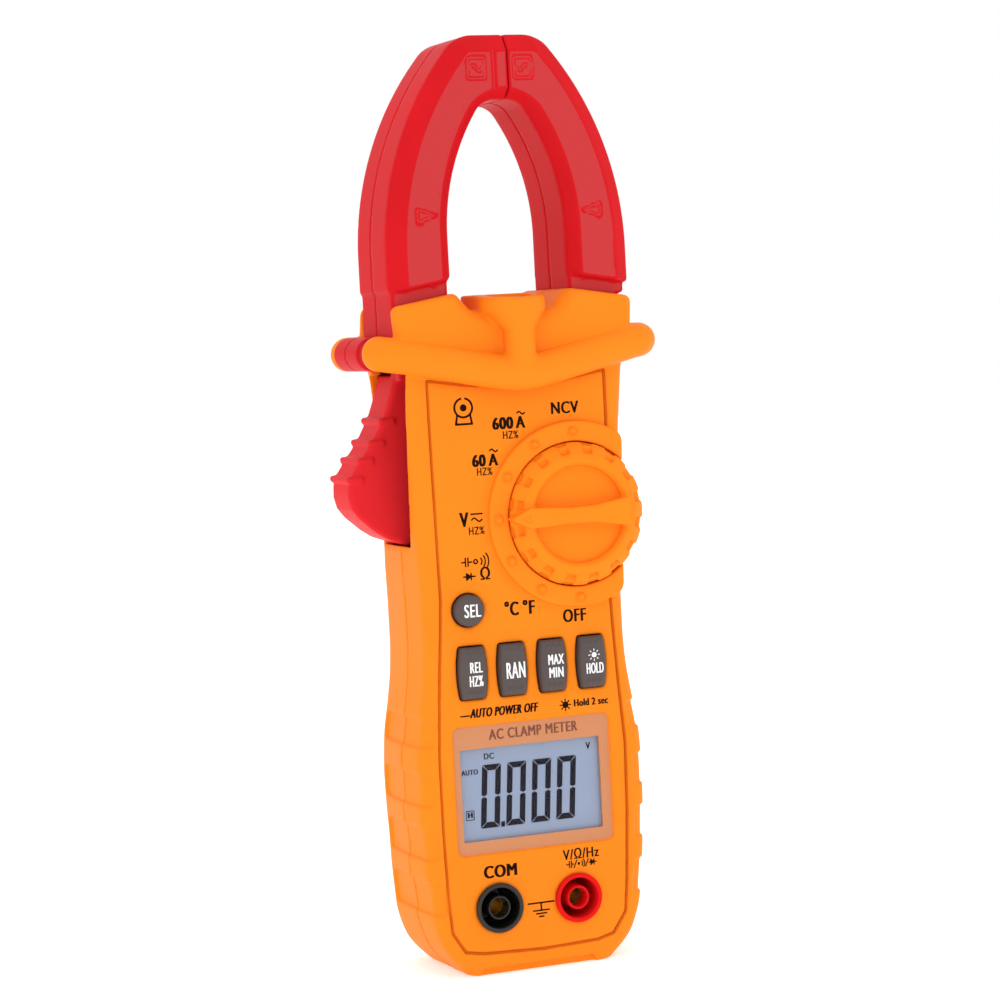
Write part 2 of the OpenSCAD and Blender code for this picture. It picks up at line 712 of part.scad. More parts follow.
module moving_jaw_front() color(red) difference() {
    union() {
        mirror([1, 0, 0]) jaw_half(-seam_x + 0.1, true, false);
        guard_segment(-8, 0);
    }
    lever_pocket();
    rod(pivot_x, pivot_z, -20, 20, pin_d / 2 + run);
}

module moving_jaw_rear() color(red) difference() {
    union() {
        mirror([1, 0, 0]) jaw_half(-seam_x + 0.1, false, false);
        guard_segment(0, 8.1);
    }
    lever_pocket();
    rod(pivot_x, pivot_z, -20, 20, pin_d / 2 + run);
}

// Piece of the guard that moves with the jaw.
module guard_segment(y0, y1) {
    rod(-guard_half_w, guard_z, y0, y1, guard_d / 2 - 0.1);
    box([-guard_half_w, y0, 138.6], [-neck_out + 1, y1, 141.6]);
}

module lever_pocket() {
    box([-24.1, -3.1, neck_bottom - 1], [-neck_in - 2.8, 3.1, 147.1]);
}

module trigger_lever() color([0.85, 0.16, 0.18]) difference() {
    union() {
        plate(-0.5, 12) polygon(trigger_outline);
        box([-24, -3, neck_bottom - 1.2], [-neck_in - 2.9, 3, 147]);
        box([-24, -0.5, neck_bottom - 2.5], [-neck_in - 2.9, 3, neck_bottom]);
        // grip ribs across the trigger's slope
        for (p = [[-27.6, 123.9], [-30.3, 119.2], [-33.1, 115.4], [-35.7, 111.4]])
            at(p) plate(-1.1, 12.3) translate([1, 0]) square([3.6, 1.5], center = true);
    }
    rod(pivot_x, pivot_z, -20, 20, pin_d / 2 + run);
}

module moving_core() color([0.5, 0.51, 0.54]) mirror([1, 0, 0]) jaw_core(-seam_x + 0.1, -jaw_shift);
module moving_coil() color([0.72, 0.4, 0.2]) mirror([1, 0, 0]) jaw_coil(-seam_x + 0.1, -jaw_shift);

module selector_knob() color(orange) {
    dish_r = 10.8;
    difference() {
        union() {
            translate([knob_x, 0, knob_z]) rotate([90, 0, 0]) rotate_extrude() polygon([
                [0, 9], [knob_r, 9], [knob_r, 13.6], [knob_r - 3.3, 15.8], [dish_r + 0.9, 16], [dish_r, 14],
                [0, 14]
            ]);
            // pointer bar
            translate([knob_x, 0, knob_z]) plate(-17.4, -13.9)
                polygon([[-17, 0], [-12.5, 2.3], [0, 1.9], [11, 3.2], [11, -3.2], [0, -1.9], [-12.5, -2.3]]);
            rod(knob_x, knob_z, -9.01, -5.3, hub_r);
        }
        for (k = [0:knob_notches - 1])
            translate([knob_x, 0, knob_z]) rotate([0, 360 * (k + 0.5) / knob_notches, 0]) {
                box([knob_r - 2.4, -20, -1.1], [knob_r + 1, -13.9, 1.1]);
                box([knob_r - 0.6, -20, -1.2], [knob_r + 1, 0, 1.2]);
            }
    }
}

module switch_rotor() color([0.9, 0.9, 0.86]) difference() {
    rod(knob_x, knob_z, -7.2, -5.4, rotor_r);
    rod(knob_x, knob_z, -8, -5, hub_r);
    for (s = [-1, 1]) rod_x(knob_x + s * 4.6, knob_x + s * 10.5, -6.3, knob_z, 0.75);
}

// Cylinder along X at (y, z).
module rod_x(x0, x1, y, z, r) {
    translate([min(x0, x1), y, z]) rotate([0, 90, 0]) cylinder(h = abs(x1 - x0), r = r);
}

module wiper_contacts() color([0.82, 0.68, 0.36])
    for (a = [30, 150, 270]) translate([knob_x, 0, knob_z]) rotate([0, a, 0]) {
        box([4.4, -5.4, -1.2], [9.2, -5.1, 1.2]);
        box([5, -5.15, -1], [6, -3.45, -0.2]);
        box([7.8, -5.15, 0.2], [8.8, -3.45, 1]);
    }

module detent_balls() color(steel)
    for (s = [-1, 1]) translate([knob_x + s * (ring_r - 0.76), -6.3, knob_z]) sphere(r = 0.7);

module detent_springs() color(steel)
    for (s = [-1, 1]) for (k = [0:3])
        translate([knob_x + s * (5.1 + 1.1 * k), -6.3, knob_z]) rotate([0, 90, 0]) coil_turn(0.5, 0.15);

// Key with a flange behind the cover's wall.
module bar_key(x) translate([x, 0, key_z]) {
    plate(-key_top + 0.5, -9.6) key_shape(0);
    plate(-key_top, -key_top + 0.5) offset(delta = -0.5) key_shape(0);
    plate(-10, -key_back) key_shape(0.7);
}

module sel_button() color(key_grey) {
    rod(sel_pos[0], sel_pos[1], -key_top + 0.5, -9.6, sel_r);
    rod(sel_pos[0], sel_pos[1], -key_top, -key_top + 0.51, sel_r - 0.5, sel_r);
    rod(sel_pos[0], sel_pos[1], -10, -key_back, sel_r + 0.7);
}

module rel_button() color(key_grey) bar_key(key_xs[0]);
module range_button() color(key_grey) bar_key(key_xs[1]);
module maxmin_button() color(key_grey) bar_key(key_xs[2]);
module hold_button() color(key_grey) bar_key(key_xs[3]);

front_cover();
rear_cover();
battery_door();
battery_door_screw();
case_screws();
display_window();
lcd_panel();
lcd_frame();
zebra_strips();
main_pcb();
pcb_screws();
circuit_components();
tact_switches();
buzzer();
com_socket();
volt_socket();
com_contact();
volt_contact();
batteries();
battery_contacts();
fixed_jaw_front();
fixed_jaw_rear();
fixed_core();
fixed_coil();
pivot_pin();
return_spring();
moving_jaw_front();
moving_jaw_rear();
trigger_lever();
moving_core();
moving_coil();
selector_knob();
switch_rotor();
wiper_contacts();
detent_balls();
detent_springs();
sel_button();
rel_button();
range_button();
maxmin_button();
hold_button();
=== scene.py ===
"""Clamp meter: its covers, jaws, knob and keys, built as signed-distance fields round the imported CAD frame.

Lengths in the modelling code are millimetres; meshes are scaled to metres when they are made.
"""

import math

import bmesh
import bpy
import numpy as np
import openvdb
from mathutils import Matrix, Vector


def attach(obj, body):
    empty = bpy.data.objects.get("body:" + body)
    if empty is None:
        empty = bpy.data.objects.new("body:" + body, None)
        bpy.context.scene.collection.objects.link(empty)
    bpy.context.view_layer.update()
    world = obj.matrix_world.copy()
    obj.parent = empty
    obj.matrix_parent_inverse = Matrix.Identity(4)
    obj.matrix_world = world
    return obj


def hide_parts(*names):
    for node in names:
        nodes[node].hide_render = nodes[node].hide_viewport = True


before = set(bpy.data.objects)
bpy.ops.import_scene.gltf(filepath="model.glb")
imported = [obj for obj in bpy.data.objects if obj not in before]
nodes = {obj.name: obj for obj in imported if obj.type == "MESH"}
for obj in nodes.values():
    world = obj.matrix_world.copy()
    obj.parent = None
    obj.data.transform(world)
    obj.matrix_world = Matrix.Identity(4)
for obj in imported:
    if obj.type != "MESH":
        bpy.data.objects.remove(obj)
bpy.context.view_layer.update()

MM = 0.001
BODY_CELL = 0.28  # edge of a grid cell for the covers, jaws and lever
FINE = 0.22  # for the knob and the battery door
KEY_CELL = 0.14
THIN_CELL = 0.2  # for the sockets and the window
MARK_CELL = 0.07  # for drawn symbols
INFINITY = 1e3  # further than any point of the object

# ---------------------------------------------------------------- signed-distance fields


class Grid:
    """A block of grid points; x, y and z broadcast against each other."""

    def __init__(self, low, high, cell):
        margin = 3 * cell
        self.cell = cell
        self.low = [v - margin for v in low]
        counts = [int(math.ceil((h + margin - l) / cell)) + 1 for l, h in zip(self.low, high)]
        axes = [np.float32(l) + np.float32(cell) * np.arange(n, dtype=np.float32)
                for l, n in zip(self.low, counts)]
        self.x = axes[0][:, None, None]
        self.y = axes[1][None, :, None]
        self.z = axes[2][None, None, :]
        self.counts = counts


def both(a, b, r=0.0):
    """Intersection of two fields; r rounds the edge where they meet at a right angle."""
    if np.ndim(r) == 0 and r <= 0:
        return np.maximum(a, b)
    corner = np.sqrt(np.maximum(a + r, 0) ** 2 + np.maximum(b + r, 0) ** 2)
    return np.minimum(np.maximum(a, b), -r) + corner


def either(a, b, r=0.0):
    """Union of two fields with a fillet of radius r."""
    return -both(-a, -b, r)


def cut(a, b, r=0.0):
    """Field a without b."""
    return both(a, -b, r)


def slab(v, low, high):
    """Everything between low and high along v."""
    return np.abs(v - (low + high) / 2) - (high - low) / 2


def length(*parts):
    """Length of the vector with these parts."""
    return np.sqrt(sum(p * p for p in parts))


def rounded_box(u, v, half_u, half_v, r):
    """Rectangle with rounded corners round the origin of u and v."""
    du = np.abs(u) - (half_u - r)
    dv = np.abs(v) - (half_v - r)
    return length(np.maximum(du, 0), np.maximum(dv, 0)) + np.minimum(np.maximum(du, dv), 0) - r


def polygon(u, v, points):
    """Signed distance to a closed polygon in the plane of u and v."""
    shape = np.broadcast(u, v).shape
    nearest = np.full(shape, INFINITY, np.float32)
    inside = np.zeros(shape, bool)
    for (au, av), (bu, bv) in zip(points, points[1:] + points[:1]):
        eu, ev = bu - au, bv - av
        t = np.clip(((u - au) * eu + (v - av) * ev) / (eu * eu + ev * ev), 0, 1)
        nearest = np.minimum(nearest, (u - au - eu * t) ** 2 + (v - av - ev * t) ** 2)
        if ev:
            inside ^= ((av <= v) != (bv <= v)) & (u < au + eu * (v - av) / ev)
    return np.where(inside, -1, 1) * np.sqrt(nearest)


def polyline(parts, points):
    """Distance to an open path; parts are the coordinate arrays."""
    nearest = INFINITY
    for a, b in zip(points, points[1:]):
        e = [q - p for p, q in zip(a, b)]
        t = sum((c - p) * d for c, p, d in zip(parts, a, e)) / sum(d * d for d in e)
        t = np.clip(t, 0, 1)
        nearest = np.minimum(nearest, sum((c - p - d * t) ** 2 for c, p, d in zip(parts, a, e)))
    return np.sqrt(nearest)


def smooth_curve(points, sigma):
    """Piecewise-linear profile softened by a Gaussian, as a function."""
    step = 0.25
    at = np.arange(-12, 170, step)
    values = np.interp(at, [p[0] for p in points], [p[1] for p in points])
    reach = int(4 * sigma / step)
    kernel = np.exp(-0.5 * (np.arange(-reach, reach + 1) * step / sigma) ** 2)
    values = np.convolve(np.pad(values, reach, mode="edge"), kernel / kernel.sum(), "valid")
    return lambda z: np.interp(z, at, values).astype(np.float32)


def soften(d, passes):
    """Small binomial blur that rounds every edge by about a grid cell."""
    for _ in range(passes):
        for axis in range(3):
            padded = np.pad(d, [(int(k == axis), int(k == axis)) for k in range(3)], mode="edge")
            padded = np.moveaxis(padded, axis, 0)
            d = np.moveaxis(0.5 * padded[1:-1] + 0.25 * (padded[:-2] + padded[2:]), 0, axis)
    return np.ascontiguousarray(d)


def mesh_object(name, verts, faces, normals=None):
    """Smooth-shaded object of a vertex and a face list, linked to the scene."""
    mesh = bpy.data.meshes.new(name)
    mesh.from_pydata(verts, [], faces)
    mesh.validate()
    mesh.shade_smooth()
    if normals is not None:
        mesh.normals_split_custom_set_from_vertices(normals)
    obj = bpy.data.objects.new(name, mesh)
    bpy.context.scene.collection.objects.link(obj)
    return obj


def solidify(name, grid, d, blur=1, adaptivity=0.02):
    """Object whose surface is the zero of d, with normals from the field's gradient."""
    d = np.ascontiguousarray(np.broadcast_to(d, grid.counts), dtype=np.float32)
    reach = 4 * grid.cell
    d = np.clip(d, -reach, reach)
    if blur:
        d = soften(d, blur)
    field = openvdb.FloatGrid(reach)
    field.copyFromArray(d)
    points, triangles, quads = field.convertToPolygons(0.0, adaptivity)
    base = np.clip(np.floor(points).astype(int), 0, np.array(grid.counts) - 2)
    frac = points - base
    gradient = np.zeros_like(points)
    slopes = np.gradient(d)
    for corner in np.ndindex(2, 2, 2):
        weight = np.prod(np.where(corner, frac, 1 - frac), axis=1)
        i, j, k = (base + corner).T
        for axis in range(3):
            gradient[:, axis] += weight * slopes[axis][i, j, k]
    gradient /= np.maximum(np.linalg.norm(gradient, axis=1, keepdims=True), 1e-9)
    verts = (points * grid.cell + np.array(grid.low)) * MM
    faces = triangles.tolist() + quads.tolist()
    return mesh_object(name, verts.tolist(), faces, gradient.tolist())


# ---------------------------------------------------------------- sizes, in millimetres

HALF_W = smooth_curve(
    [(0, 16.6), (0.6, 18.6), (5.4, 23), (12, 25.4), (23, 26.7), (35, 27.4), (44, 27.6), (53, 27.1),
     (60, 25.8), (66, 24.9), (72, 24.5), (84, 24.5), (100, 25), (120, 25.9), (138, 27.7), (150, 28.5),
     (160, 28.5)], 1.6)
FRONT = smooth_curve([(0, 11.3), (3, 11.9), (6, 12), (134, 12), (137, 14), (160, 14)], 0.7)
REAR = smooth_curve([(0, 16.1), (4, 17.9), (8, 18.5), (141, 18.5), (150, 14), (160, 12.5)], 1.2)
# how fast the sides close in away from the parting plane, by height
FRONT_SLOPE = smooth_curve([(0, 0.06), (134, 0.06), (140, 0)], 1)
REAR_SLOPE = smooth_curve(
    [(0, -0.07), (5, -0.05), (12, -0.03), (20, 0), (30, 0.03), (90, 0.03), (110, 0.1), (134, 0.13),
     (141, 0.03)], 1.5)
FRONT_R = smooth_curve([(0, 3.5), (134, 3.5), (140, 1.8)], 1)
REAR_R = 6.5
WALL = 1.8
INNER_TOP = 143.5  # the hollow ends under the top wall
BANDS = [(14.6, 22), (27, 34), (39, 46), (52, 58)]
BAND_DEPTH = 0.6
SEAM_R = 0.28
CASE_SCREWS = [(-16.5, 8.5), (16.5, 8.5), (-4.5, 140)]
TOP_SCREW = (21.5, 146.2)
DOOR_Z = 49
DOOR_HALF_W, DOOR_HALF_H = 19, 29
DOOR_GAP = 0.15
DOOR_SCREW_Z = 75

GUARD_R = 3.85
GUARD_X = 31.6
GUARD_Z = 139
GUARD_PATH = [(-31.6, -12, 139), (-24, -12.6, 137.8), (-17, -13.4, 136.3), (-9, -14.4, 134.5),
              (-4, -15, 133.5), (0, -15.15, 133.1), (4, -15, 133.5), (9, -14.4, 134.5),
              (17, -13.4, 136.3), (24, -12.7, 137.8), (28.2, -12, 138.7), (29.6, -11.4, 138.9),
              (30.7, -10.4, 139), (31.4, -9, 139), (31.6, -7.6, 139), (31.6, 0, 139)]
REAR_GUARD = [(31.6, 0, 139), (31.6, 8, 139), (31.3, 10, 139), (30.5, 12, 139), (29, 13.4, 139),
              (26.5, 14.5, 139), (21.6, 15, 139)]
REAR_GUARD_LEFT = [(-30.6, 12.2, 139), (-29, 13.6, 139), (-26, 14.8, 139), (-21.6, 15, 139)]
CUP_Y = -11.5
CUP_BACK = -1.5  # where the cup's straight sides end
CUP_TOP = 150.8
CUP_R = 7.5
CUP_BORE = 5
CUP_LEAN = 0.085  # how much the rim rises towards the front
STEM_R = 3.55
STEM_Y = -15.5
CONE_LOW, CONE_HEIGHT = 142.9, 4.3

KNOB_X, KNOB_Z = 12.5, 101.1
KNOB_R = 16
KNOB_NOTCHES = 16
BEZEL_R = 20.8
BEZEL_Y = -13.2
DOT_CIRCLE_R = 18.5
WELL_R = 16.2
KEY_XS = [-13.8, -4.3, 5.2, 14.7]
KEY_Z = 67.7
KEY_HALF_W, KEY_HALF_H = 3.4, 5.75
KEY_TOP = -13.5
KEY_GAP = 0.22
SEL_X, SEL_Z, SEL_R = -14, 81.6, 3.55
LENS = (-0.4, 41.5, 37.4, 28.7)  # centre x, centre z, width, height
VIEW = (-0.8, 40.4, 33.4, 20.6)
JACKS = {"com": -10.3, "volt": 8.7}
JACK_Z = 15

PIVOT = (-19.5, 139)
PIN_R = 2.05
SEAM_X = 1.65
JAW_SHIFT = 0.35
PANEL_DEPTH = 0.25
LINE_HALF = 0.26  # half the width of the groove round the panel
LINE_SHADE_HALF = 0.13  # and of the darker ribbon of painted shade in it
NECK_FLOOR = 133.7
NECK_INSIDE, NECK_OUTSIDE = 14.1, 24.8

PANEL_LINE = [(-12, 131.2), (-20.8, 132.6), (-20.8, 123), (-20.3, 84), (-20.8, 76), (-21.8, 62),
              (-22.5, 49), (-22.5, 34), (-22.1, 18), (-21.5, 10.5), (-18.7, 5.9), (-14, 5.1), (0, 4.5),
              (13, 4.9), (17, 5.9), (20.2, 10.5), (20.9, 18), (21.8, 34), (22.1, 49), (21.2, 62),
              (20.5, 76), (20.2, 84), (21.4, 123), (21.4, 132.8), (12, 131.3), (0, 130.3)]

TOP_LINE = [(-40, -10), (40, -10), (40, 147.8), (28.6, 148.5), (27, 149.2), (13.8, 151.4), (12.6, 151),
            (9.8, 147.8), (6.6, 146.7), (-6.6, 146.7), (-9.8, 147.8), (-12.6, 151), (-13.8, 151.4),
            (-27, 149.2), (-28.6, 148.5), (-40, 147.8)]

TRIGGER = [(-23.9, 133.8), (-25.6, 128.7), (-27.1, 124.6), (-30.1, 119.3), (-33, 115.5), (-35.5, 111.9),
           (-36.1, 109.8), (-36.2, 107.3), (-35.5, 104.7), (-33.8, 102.5), (-30.4, 99.5), (-27.9, 97.8),
           (-23, 95.9), (-21.4, 96.4), (-19.6, 112), (-16, 124), (-15.2, 133.8)]
RIBS = [(-27.6, 123.9), (-30.3, 119.2), (-33.1, 115.4), (-35.7, 111.4)]
TRIGGER_BACK = 12
TRIGGER_SLOT = [(-40, 103), (-30.6, 98.9), (-28, 97.3), (-23, 95.5), (-14, 95.2), (-14, 134), (-40, 134)]


def key_outline(grow):
    """Barrel-shaped key, wider in the middle, grown by a clearance."""
    rows = [t / 4 for t in range(-4, 5)]
    right = [(KEY_HALF_W - 0.6 * t * t + grow, t * (KEY_HALF_H + grow)) for t in rows]
    return right + [(-x, z) for x, z in reversed(right)]


def body_sides(g, slope):
    """Distance outside the two curved sides of the body."""
    w = HALF_W(g.z)
    lean = 1 / np.sqrt(1 + np.gradient(w, g.cell, axis=2) ** 2)
    return (np.abs(g.x) - w + slope(g.z) * np.abs(g.y)) * lean


def finger_bands(g, skin):
    """Shallow rounded recesses in the sides, at one depth under the body's skin."""
    end = HALF_W(g.z) - 3.7 - np.abs(g.x)
    back = g.y - TRIGGER_BACK
    d = INFINITY
    for z0, z1 in BANDS:
        d = np.minimum(d, both(both(end, back, 1.2), slab(g.z, z0, z1), 1.2))
    return both(d, -(skin + BAND_DEPTH), 0.2)


def neck_pockets(g):
    """Room for the two jaws' necks: the left one is open to the side."""
    left = both(slab(g.x, -40, -NECK_INSIDE), slab(g.z, 134, 170))
    left = either(left, both(slab(g.x, -24.5, -NECK_INSIDE), slab(g.z, NECK_FLOOR, 170)))
    right = both(slab(g.x, NECK_INSIDE, NECK_OUTSIDE), slab(g.z, NECK_FLOOR, 170))
    return both(either(left, right), slab(g.y, -11.3, 9.7))


def trigger_slot(g):
    """Opening in the left side; its lower edge follows the trigger's underside."""
    return polygon(g.x, g.z, TRIGGER_SLOT)


def probe_cup(g):
    """Cup that holds a probe, long from front to back, on the cone and bridge that carry it."""
    reach = np.maximum(g.y - CUP_Y, 0)
    reach = np.maximum(reach - (CUP_BACK - CUP_Y), 0)
    stadium = length(g.x, np.where(g.y < CUP_Y, g.y - CUP_Y, reach))
    lean = CUP_LEAN * (CUP_Y - g.y + 4)
    rim = both(stadium - CUP_R, slab(g.z + np.maximum(lean, 0), 147.2, CUP_TOP), 0.5)
    bridge = both(both(stadium - CUP_R, slab(g.z, 145, 149)), -(g.y + 10))
    t = np.clip((g.z - CONE_LOW) / CONE_HEIGHT, 0, 1)
    cone_r = STEM_R + (CUP_R - STEM_R) * t
    centre = STEM_Y + (CUP_Y - STEM_Y) * t
    cone = both((length(g.x, g.y - centre) - cone_r) * 0.75, slab(g.z, 133, 149))
    return either(either(rim, cone, 0.3), bridge)


def finish_piece(obj, body, slot, material, *replaced):
    """Give a piece its material and moving body, and hide the frame nodes it stands for; slot is not used."""
    obj.data.materials.append(material)
    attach(obj, body)
    if replaced:
        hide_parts(*replaced)


def front_cover(material):
    """Front half of the case, with the panel, bezel, guard and every opening in its face."""
    g = Grid((-36, -19.5, 0), (36, 0, 151.5), BODY_CELL)
    sides = body_sides(g, FRONT_SLOPE)
    front = -g.y - FRONT(g.z)
    skin = both(sides, front, FRONT_R(g.z))
    top = polygon(g.x, g.z, TOP_LINE)
    # the top edge is rounder beside the probe cup than further out
    edge_r = np.interp(np.abs(g.x), [12.5, 16, 23, 26], [3.6, 1.6, 1.6, 1]).astype(np.float32)
    body = both(both(skin, top, edge_r), -g.z, 0.4)
    inner = both(np.maximum(sides + 0.6, front) + WALL, slab(g.z, 2, INNER_TOP))
    body = cut(body, finger_bands(g, skin), 0.2)
    # sunk panel with a groove along its outline, and the step between the two feet
    line = polygon(g.x, g.z, PANEL_LINE)
    body = cut(body, both(line, g.y + 12 - PANEL_DEPTH), 0.05)
    body = cut(body, both(np.abs(line) - LINE_HALF, g.y + 11.1), 0.05)
    foot = both(both(slab(g.x, -14.6, 12.2), g.z - 1.7, 0.5), g.y + 10.4)
    body = cut(body, foot, 0.3)
    # knob's bezel and well, and a ringed dot at each position
    knob_r = length(g.x - KNOB_X, g.z - KNOB_Z)
    bezel = both(both(knob_r - BEZEL_R, slab(g.y, BEZEL_Y, -7.5), 0.4), sides + 0.1, 1.6)
    body = either(body, bezel, 0.2)
    body = cut(body, both(knob_r - WELL_R, g.y + 8.7), 0.35)
    hollow = cut(inner, both(knob_r - WELL_R - 1.4, g.y + 7.5))
    body = cut(body, hollow)
    for angle in range(90, 271, 30):
        x, z = DOT_CIRCLE_R * math.cos(math.radians(angle)), DOT_CIRCLE_R * math.sin(math.radians(angle))
        dot = length(g.x - KNOB_X - x, g.y - BEZEL_Y, g.z - KNOB_Z - z)
        body = cut(body, np.abs(dot - 1.1) - 0.16, 0.1)
        body = either(body, dot - 0.85, 0.1)
    # guard and probe cup
    body = either(body, polyline((g.x, g.y, g.z), GUARD_PATH) - GUARD_R, 0.4)
    body = either(body, probe_cup(g), 0.7)
    # openings; those in the face stop behind its wall
    face = g.y + 5
    body = cut(body, neck_pockets(g), 0.25)
    ahead = g.y + 5.4 + 0.142 * (g.z - 95.5)
    body = cut(body, both(both(trigger_slot(g), g.x + 22), -ahead), 0.2)
    x, z, w, h = LENS
    seat = both(rounded_box(g.x - x, g.z - z, w / 2 + 0.04, h / 2 + 0.04, 1.5), g.y + 11)
    body = cut(body, seat, 0.1)
    x, z, w, h = VIEW
    body = cut(body, both(rounded_box(g.x - x, g.z - z, w / 2, h / 2, 0.4), face), 0.15)
    for x in KEY_XS:
        body = cut(body, both(polygon(g.x - x, g.z - KEY_Z, key_outline(KEY_GAP)), face), 0.3)
    body = cut(body, both(length(g.x - SEL_X, g.z - SEL_Z) - SEL_R - KEY_GAP, face), 0.3)
    for x in JACKS.values():
        body = cut(body, both(length(g.x - x, g.z - JACK_Z) - 5.2, face), 0.2)
    body = cut(body, both(length(g.x, g.y - CUP_Y) - CUP_BORE, -(g.z - 146.3)), 0.4)
    body = both(body, g.y, SEAM_R)
    piece = solidify("front_cover_shell", g, body)
    finish_piece(piece, "case", "housing_orange", material, "front_cover")


def rear_cover(material):
    """Rear half of the case, with the battery bay, screw bosses and the guard's two ends."""
    g = Grid((-36, 0, 0), (36, 19, 151.5), BODY_CELL)
    sides = body_sides(g, REAR_SLOPE)
    back = g.y - REAR(g.z)
    skin = both(sides, back, REAR_R)
    top = polygon(g.x, g.z, TOP_LINE)
    body = both(both(skin, top, 1.2), -g.z, 0.8)
    inner = both(both(sides + 0.6, back, REAR_R) + WALL, slab(g.z, 2, INNER_TOP))
    body = cut(body, finger_bands(g, skin), 0.2)
    # the screw bosses and the walls of the battery bay stay solid
    bosses = INFINITY
    for x, z in CASE_SCREWS:
        bosses = np.minimum(bosses, length(g.x - x, g.z - z) - 3.4)
    bay = both(rounded_box(g.x, g.z - 49.2, 20.4, 30.8, 1), -(g.y - 15))
    bay = either(bay, both(rounded_box(g.x, g.z - 49.2, 14.4, 30.8, 1), -(g.y - 3.4)))
    body = cut(body, cut(inner, either(bay, bosses)))
    for path in (REAR_GUARD, REAR_GUARD_LEFT):
        body = either(body, polyline((g.x, g.y, g.z), path) - GUARD_R, 0.5)
    body = either(body, both(probe_cup(g), g.y - 6), 0.7)
    body = cut(body, neck_pockets(g), 0.25)
    body = cut(body, both(trigger_slot(g), g.y - TRIGGER_BACK - 0.6), 0.2)
    body = cut(body, both(length(g.x - PIVOT[0], g.z - PIVOT[1]) - 3.4, slab(g.y, 9.4, 13.2)))
    # seat of the door, the bay for the cells and the screw holes
    seat = rounded_box(g.x, g.z - DOOR_Z, DOOR_HALF_W + DOOR_GAP, DOOR_HALF_H + DOOR_GAP, 2.1)
    body = cut(body, both(seat, -(g.y - 16.85)), 0.15)
    body = cut(body, both(rounded_box(g.x, g.z - 46.85, 12.6, 24.65, 0.5), -(g.y - 5)), 0.15)
    body = cut(body, both(length(g.x, g.z - DOOR_SCREW_Z) - 1.2, -(g.y - 6)))
    for x, z in CASE_SCREWS + [TOP_SCREW]:
        hole = length(g.x - x, g.z - z)
        body = cut(body, hole - 1.65)
        body = cut(body, both(hole - 3, -(g.y - 13.2)), 0.2)
    body = both(body, -g.y, SEAM_R)
    piece = solidify("rear_cover_shell", g, body)
    finish_piece(piece, "case", "housing_orange", material, "rear_cover")


def battery_door(material):
    """Plate over the battery bay, with grip grooves and a countersunk screw hole."""
    g = Grid((-19, 16.9, 20), (19, 18.5, 78), FINE)
    d = both(rounded_box(g.x, g.z - DOOR_Z, DOOR_HALF_W, DOOR_HALF_H, 2), slab(g.y, 16.9, 18.5), 0.3)
    for k in range(6):
        grip = both(slab(g.x, -9, 9), slab(g.z, 25 + 2.2 * k, 26 + 2.2 * k), 0.4)
        d = cut(d, both(grip, -(g.y - 18)), 0.2)
    hole = length(g.x, g.z - DOOR_SCREW_Z)
    d = cut(cut(d, hole - 1.5), both(hole - 2.6, -(g.y - 17.6)), 0.15)
    piece = solidify("battery_door_plate", g, d)
    finish_piece(piece, "case", "housing_orange", material, "battery_door")


def bevel(a, b, run, rise):
    """Plane across the corner of two faces, sloped by run over rise."""
    return (a * rise + b * run) / math.hypot(run, rise)


